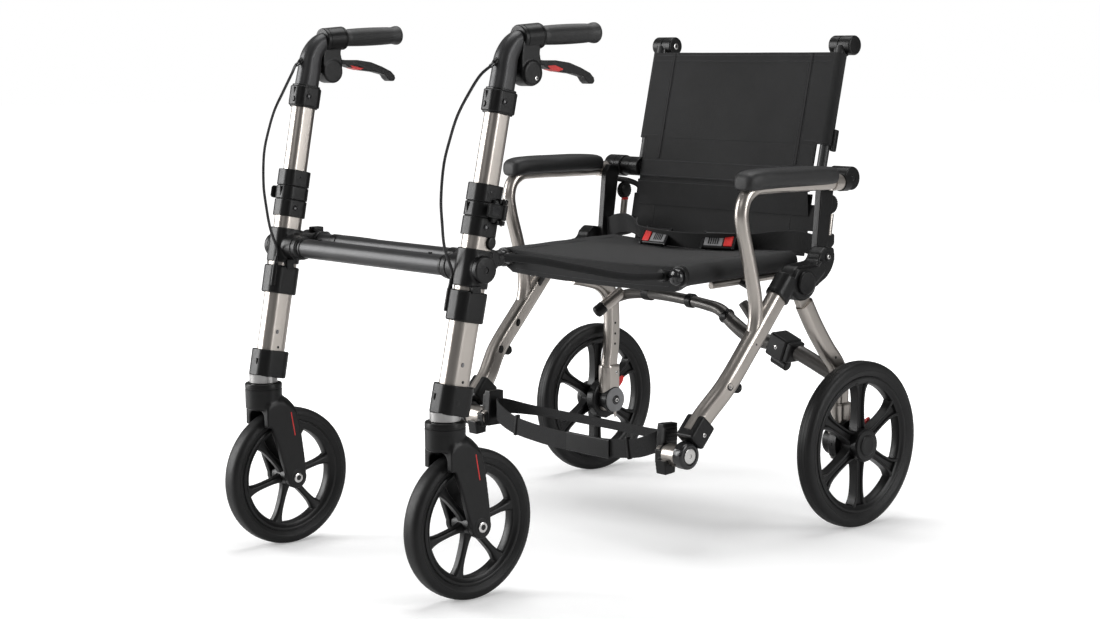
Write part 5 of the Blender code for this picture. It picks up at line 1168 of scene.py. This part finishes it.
def seat_ring(offset, depth, lift=0.0):
    y = FRONT_Y + offset
    ring = []
    wide = 28
    for k in range(wide + 1):
        x = -SEAT_X + 2 * SEAT_X * k / wide
        crease = 0.0007 * math.sin(x * 41 + y * 29) * math.sin(y * 38 + 1.0) * min(1.0, offset / 0.05)
        ring.append(Vector((x, y, seat_height(x, y) + crease - lift)))
    for k in range(1, 8):
        t = math.radians(90 - 180 * k / 8)
        ring.append(Vector((SEAT_X + ROLL * math.cos(t), y, seat_axis(y) + ROLL * math.sin(t))))
    ring.append(Vector((SEAT_X, y, seat_axis(y) - ROLL)))
    for k in range(1, wide):
        x = SEAT_X - 2 * SEAT_X * k / wide
        ring.append(Vector((x, y, seat_height(x, y) - depth - lift)))
    ring.append(Vector((-SEAT_X, y, seat_axis(y) - ROLL)))
    for k in range(7, 0, -1):
        t = math.radians(90 - 180 * k / 8)
        ring.append(Vector((-SEAT_X - ROLL * math.cos(t), y, seat_axis(y) + ROLL * math.sin(t))))
    return ring


def seat():
    form = Form()
    stations = mm(3, 0, 40, 3.5, 1.5, 44, 1.2, 5, 45.2, 0, 14, 44.5, 0, 22, 40, 0, 30, 28, 0, 38, 15, 0,
                  48, 9, 0)
    stations += [(s, 0.0072, 0.0) for s in spaced(0.06, 0.2815, 22)] + [(0.283, 0.006, 0.0006)]
    form.loft([seat_ring(*station) for station in stations], "canvas")
    sling = form.piece("seat_skin", "frame", ["seat"], "canvas")
    trim = Form()
    for sign in (-1, 1):
        for x in (0.206, 0.201):
            seam(trim, [Vector((sign * x, y, seat_height(x, y) + 0.0002)) for y in spaced(0.058, 0.33, 7)])
    for y in (0.064, 0.328):
        seam(trim, [Vector((x, y, seat_height(x, y) + 0.0002)) for x in spaced(-0.2, 0.2, 11)])
    seam(trim, [Vector((x, 0.0518, seat_height(x, 0.052) - 0.0365)) for x in spaced(-0.205, 0.205, 11)])
    stitched = trim.piece("seat_seams", "frame", [], "canvas")
    plugs = Form()
    for sign in (-1, 1):
        plugs.turn((sign * SEAT_X, 0, SEAT_Z), Y, mm(2, 29.5, 0, 29.6, 4, 30.5, 9, 32.5, 12.8, 35, 14.6,
                42, 14.8, 42.4, 12, 54, 11.6), "gloss", 40)
    plugs.piece("seat_plugs", "frame", [], "moulding")


seat()

BELT_HALF, BUCKLE_LEAN = 0.019, math.radians(34)
BELT = [(0.2727, 0.356, 0.514, 0), (0.269, 0.356, 0.514, 0), (0.264, 0.356, 0.514, 0),
        (0.238, 0.351, 0.518, 5), (0.205, 0.348, 0.517, 12), (0.15, 0.33, 0.511, 26),
        (0.098, 0.296, 0.512, 34), (0.03, 0.28, 0.51, 36), (-0.05, 0.278, 0.512, 34),
        (-0.098, 0.286, 0.514, 30), (-0.15, 0.324, 0.518, 20), (-0.205, 0.348, 0.525, 10),
        (-0.238, 0.351, 0.522, 5), (-0.264, 0.356, 0.514, 0), (-0.269, 0.356, 0.514, 0),
        (-0.2727, 0.356, 0.514, 0)]


def webbing(rows, thick):
    """A flat strap: rows are (x, y, z, half width, degrees it leans back)."""
    path = curve([tuple(row) + (0,) * (5 - len(row)) for row in rows])
    form = Form()
    rings = []
    for p, (s, u) in zip(path, frames(path, Z)):
        lean = math.radians(p[4])
        across, out = s * math.cos(lean) - u * math.sin(lean), u * math.cos(lean) + s * math.sin(lean)
        rings.append([Vector(p[:3]) + across * a + out * b for a, b in rounded(p[3], thick / 2,
                thick * 0.45, 2)])
    form.loft(rings, "strap")
    length = float(np.sum(steps_along(path)))
    return form, length


def buckle(at, slope, lean, flip):
    """Frame, grey plate and red release bar of one side of the buckle."""
    form = Form()
    turn = Matrix.Rotation(slope, 3, "Z") @ Matrix.Rotation(-lean, 3, "X")

    def block(x, y, z, half, look, bevel):
        form.block(Vector(at) + turn @ Vector((x * flip, y, z)), half, look, bevel, turn, segments=3)

    block(0, 0, 0, (0.033, 0.0044, 0.0172), "moulding", 0.0026)
    block(-0.0095, -0.0044, 0, (0.0185, 0.0014, 0.0128), "greyplate", 0.001)
    block(0.02, -0.0048, 0, (0.0085, 0.0016, 0.013), "red", 0.0012)
    block(0.0315, -0.003, 0, (0.0026, 0.0032, 0.019), "gloss", 0.0012)
    block(-0.0315, -0.003, 0, (0.0026, 0.003, 0.018), "gloss", 0.0012)
    for k in range(5):
        block(-0.019 + 0.0045 * k, -0.006, 0, (0.0009, 0.0006, 0.0095), "moulding", 0.0003)
    return form


def belt():
    form, length = webbing([(x, y, z, BELT_HALF, lean) for x, y, z, lean in BELT], 0.002)
    strap = form.piece("belt_skin", "frame", ["belt"], "webbing")
    lean = BUCKLE_LEAN
    near = buckle((0.096, 0.2925, 0.512), 0.36, lean, 1).piece("belt_buckle_left", "frame", [], "webbing")
    far = buckle((-0.05, 0.274, 0.512), 0.02, lean, -1).piece("belt_buckle_right", "frame", [], "webbing")


belt()


def foot_strap():
    front = mm(4, 220.5, 21, 190, 20, 212, 12, 186, 18, 170, 6, 170, 17, 90, 4, 160, 16.5,
               0, 3.5, 157.5, 16.5)
    rear = mm(4, 220.5, 24, 190, 19, 212, 32, 192, 15, 170, 56, 188, 10, 90, 68, 186, 8.5,
              0, 71, 185.5, 8.5)
    for name, half in (("foot_strap_skin", front), ("foot_strap_rear", rear)):
        rows = half + [(-x, y, z, w) for x, y, z, w in half[-2::-1]]
        form, length = webbing(rows, 0.0024)
        form.piece(name, "frame", ["foot_strap"] if name.endswith("skin") else [],
                                  "webbing")
    band = Form()
    band.sweep([(0.05 + u, 0.0012, 0.159, 0.0172, 0.0026) for u in spaced(-0.056, 0.056, 7)], "moulding", Z,
               0.7)
    for sign in (-1, 1):
        band.block((sign * 0.15, 0.006, 0.1672), (0.003, 0.0046, 0.02), "moulding", 0.0016,
                   Matrix.Rotation(sign * -0.15, 3, "Y"))
    sleeve = band.piece("foot_strap_band", "frame", [], "webbing")


foot_strap()

# Arm pads

PAD = mm(4, 120, 633, 11, 7.5, 121.5, 634.5, 17, 12.5, 127, 637, 21.5, 16, 140, 639.5, 24.5, 17.5,
         165, 641.5, 25.8, 17.2, 230, 642.2, 26.4, 16.6, 310, 642.2, 26.2, 16.6, 348, 641.2, 25, 15.5,
         356, 640.5, 22, 13, 358.5, 640, 17, 9)


SETTLING_FRAMES = 20
CLOTH_STIFFNESS = 40
AIR_PRESSURE, AIR_CAP, PAD_VOXEL, PAD_FILL = 3.0, 0.0012, 0.0045, 0.95


def inflate(item, pressure, cap):
    """Lets cloth filled with air settle, with every point's movement kept under a cap."""
    start = np.array([v.co for v in item.data.vertices])
    cloth = item.modifiers.new("air", "CLOTH")
    cloth.settings.use_pressure = True
    cloth.settings.uniform_pressure_force = pressure
    cloth.settings.effector_weights.gravity = 0
    cloth.settings.tension_stiffness = cloth.settings.compression_stiffness = CLOTH_STIFFNESS
    for number in range(1, SETTLING_FRAMES + 1):
        bpy.context.scene.frame_set(number)
    shape = item.evaluated_get(bpy.context.evaluated_depsgraph_get())
    end = np.array([v.co for v in shape.data.vertices])
    item.modifiers.clear()
    bpy.context.scene.frame_set(1)
    step = end - start
    size = np.linalg.norm(step, axis=1, keepdims=True) + 1e-12
    end = start + step * np.minimum(1.0, cap / size)
    item.data.vertices.foreach_set("co", end.ravel())
    item.data.update()


def arm_pad():
    form = Form()
    rings = []
    for y, z, a, b in curve([(p[0], p[1], 0, p[2], p[3]) for p in PAD], 5)[:, (0, 1, 3, 4)]:
        rings.append([Vector((SIDE_X + u, y, z + v)) for u, v in oval(a, b, 40, 0.62)])
    form.loft(rings, "skin")
    pads = [form.piece(f"{side}_arm_pad_skin", "frame", [f"{side}_arm_pad"], "foam", sign)
            for side, sign in SIDES]
    for pad in pads:
        pad.modifiers.clear()
        remesh = pad.modifiers.new("even faces", "REMESH")
        remesh.mode, remesh.voxel_size = "VOXEL", PAD_VOXEL
        shape = pad.evaluated_get(bpy.context.evaluated_depsgraph_get())
        made = bpy.data.meshes.new_from_object(shape)
        pad.modifiers.clear()
        made.materials.clear()
        made.materials.append(MATERIALS["skin"])
        pad.data = made
        inflate(pad, AIR_PRESSURE, AIR_CAP)
        made.shade_smooth()
        smooth = pad.modifiers.new("rounder", "SUBSURF")
        smooth.levels = smooth.render_levels = 1


arm_pad()

# Light, floor and camera

FLOOR_HALF, FADE_START, FADE_END, FADE_LOW = 30, 0.6, 1.8, 0.27
AMBIENT = 0.16
LENS, SENSOR = 65.055, 36.0
CAMERA_PLACE = (2.615, -2.399, 0.85)
CAMERA_DIP, CAMERA_TURN = math.radians(7.2143), math.radians(47.894)


def glow(tree, seen, hidden):
    """Strength that the camera sees, against the one that lights the part."""
    path = add(tree, "LightPath")
    strength = add(tree, "MapRange", To_Min=hidden, To_Max=seen)
    link(tree, path, "Is Camera Ray", strength, "Value")
    return strength


world = bpy.data.worlds.new("studio")
bpy.context.scene.world = world
world.use_nodes = True
background = world.node_tree.nodes["Background"]
background.inputs["Color"].default_value = (1, 1, 1, 1)
link(world.node_tree, glow(world.node_tree, 1.0, AMBIENT), "Result", background, "Strength")

floor_mesh = bpy.data.meshes.new("floor")
corners = [(x * FLOOR_HALF, y * FLOOR_HALF, 0) for x, y in ((-1, -1), (1, -1), (1, 1), (-1, 1))]
floor_mesh.from_pydata(corners, [], [(0, 1, 2, 3)])
floor = bpy.data.objects.new("floor", floor_mesh)
bpy.context.collection.objects.link(floor)
paper = bpy.data.materials.new("paper")
paper.use_nodes = True
tree = paper.node_tree
paint = tree.nodes["Principled BSDF"]
for socket, value in (("Base Color", (0.82, 0.82, 0.82, 1)), ("Roughness", 0.9),
                      ("Specular IOR Level", 0.1)):
    paint.inputs[socket].default_value = value
glowing = add(tree, "Emission", Color=(1, 1, 1, 1))
spot = add(tree, "TexCoord")
far = tree.nodes.new("ShaderNodeVectorMath")
far.operation = "LENGTH"
tree.links.new(spot.outputs["Object"], far.inputs[0])
fade = add(tree, "MapRange", From_Min=FADE_START, From_Max=FADE_END, To_Min=FADE_LOW, To_Max=1.0)
link(tree, far, "Value", fade, "Value")
seen = product(tree, fade.outputs["Result"], glow(tree, 1.0, 0.0).outputs["Result"])
link(tree, seen, "Value", glowing, "Strength")
mixed = tree.nodes.new("ShaderNodeAddShader")
tree.links.new(paint.outputs["BSDF"], mixed.inputs[0])
tree.links.new(glowing.outputs["Emission"], mixed.inputs[1])
tree.links.new(mixed.outputs["Shader"], tree.nodes["Material Output"].inputs["Surface"])
floor.data.materials.append(paper)


def lamp(name, at, target, size, power):
    light = bpy.data.lights.new(name, "AREA")
    light.shape, light.size, light.size_y, light.energy = "RECTANGLE", size[0], size[1], power
    made = bpy.data.objects.new(name, light)
    made.location = at
    made.rotation_euler = (Vector(target) - Vector(at)).to_track_quat("-Z", "Y").to_euler()
    bpy.context.collection.objects.link(made)


for row in (("key", (-3.0, -2.6, 1.5), (0.1, 0.0, 0.45), (1.7, 2.7), 150),
            ("front", (1.4, -3.9, 2.8), (0.1, 0.0, 0.45), (2.2, 1.6), 16),
            ("side", (3.8, 1.4, 1.6), (0.2, 0.1, 0.45), (1.3, 2.4), 72),
            ("top", (-0.3, 0.5, 3.6), (0, 0, 0.4), (2.6, 2.6), 90)):
    lamp(*row)

camera_data = bpy.data.cameras.new("camera")
camera_data.lens, camera_data.sensor_width = LENS, SENSOR
camera = bpy.data.objects.new("camera", camera_data)
camera.location = CAMERA_PLACE
camera.rotation_euler = (math.pi / 2 - CAMERA_DIP, 0, CAMERA_TURN)
bpy.context.collection.objects.link(camera)
scene = bpy.context.scene
scene.camera = camera
scene.view_settings.view_transform = "Standard"
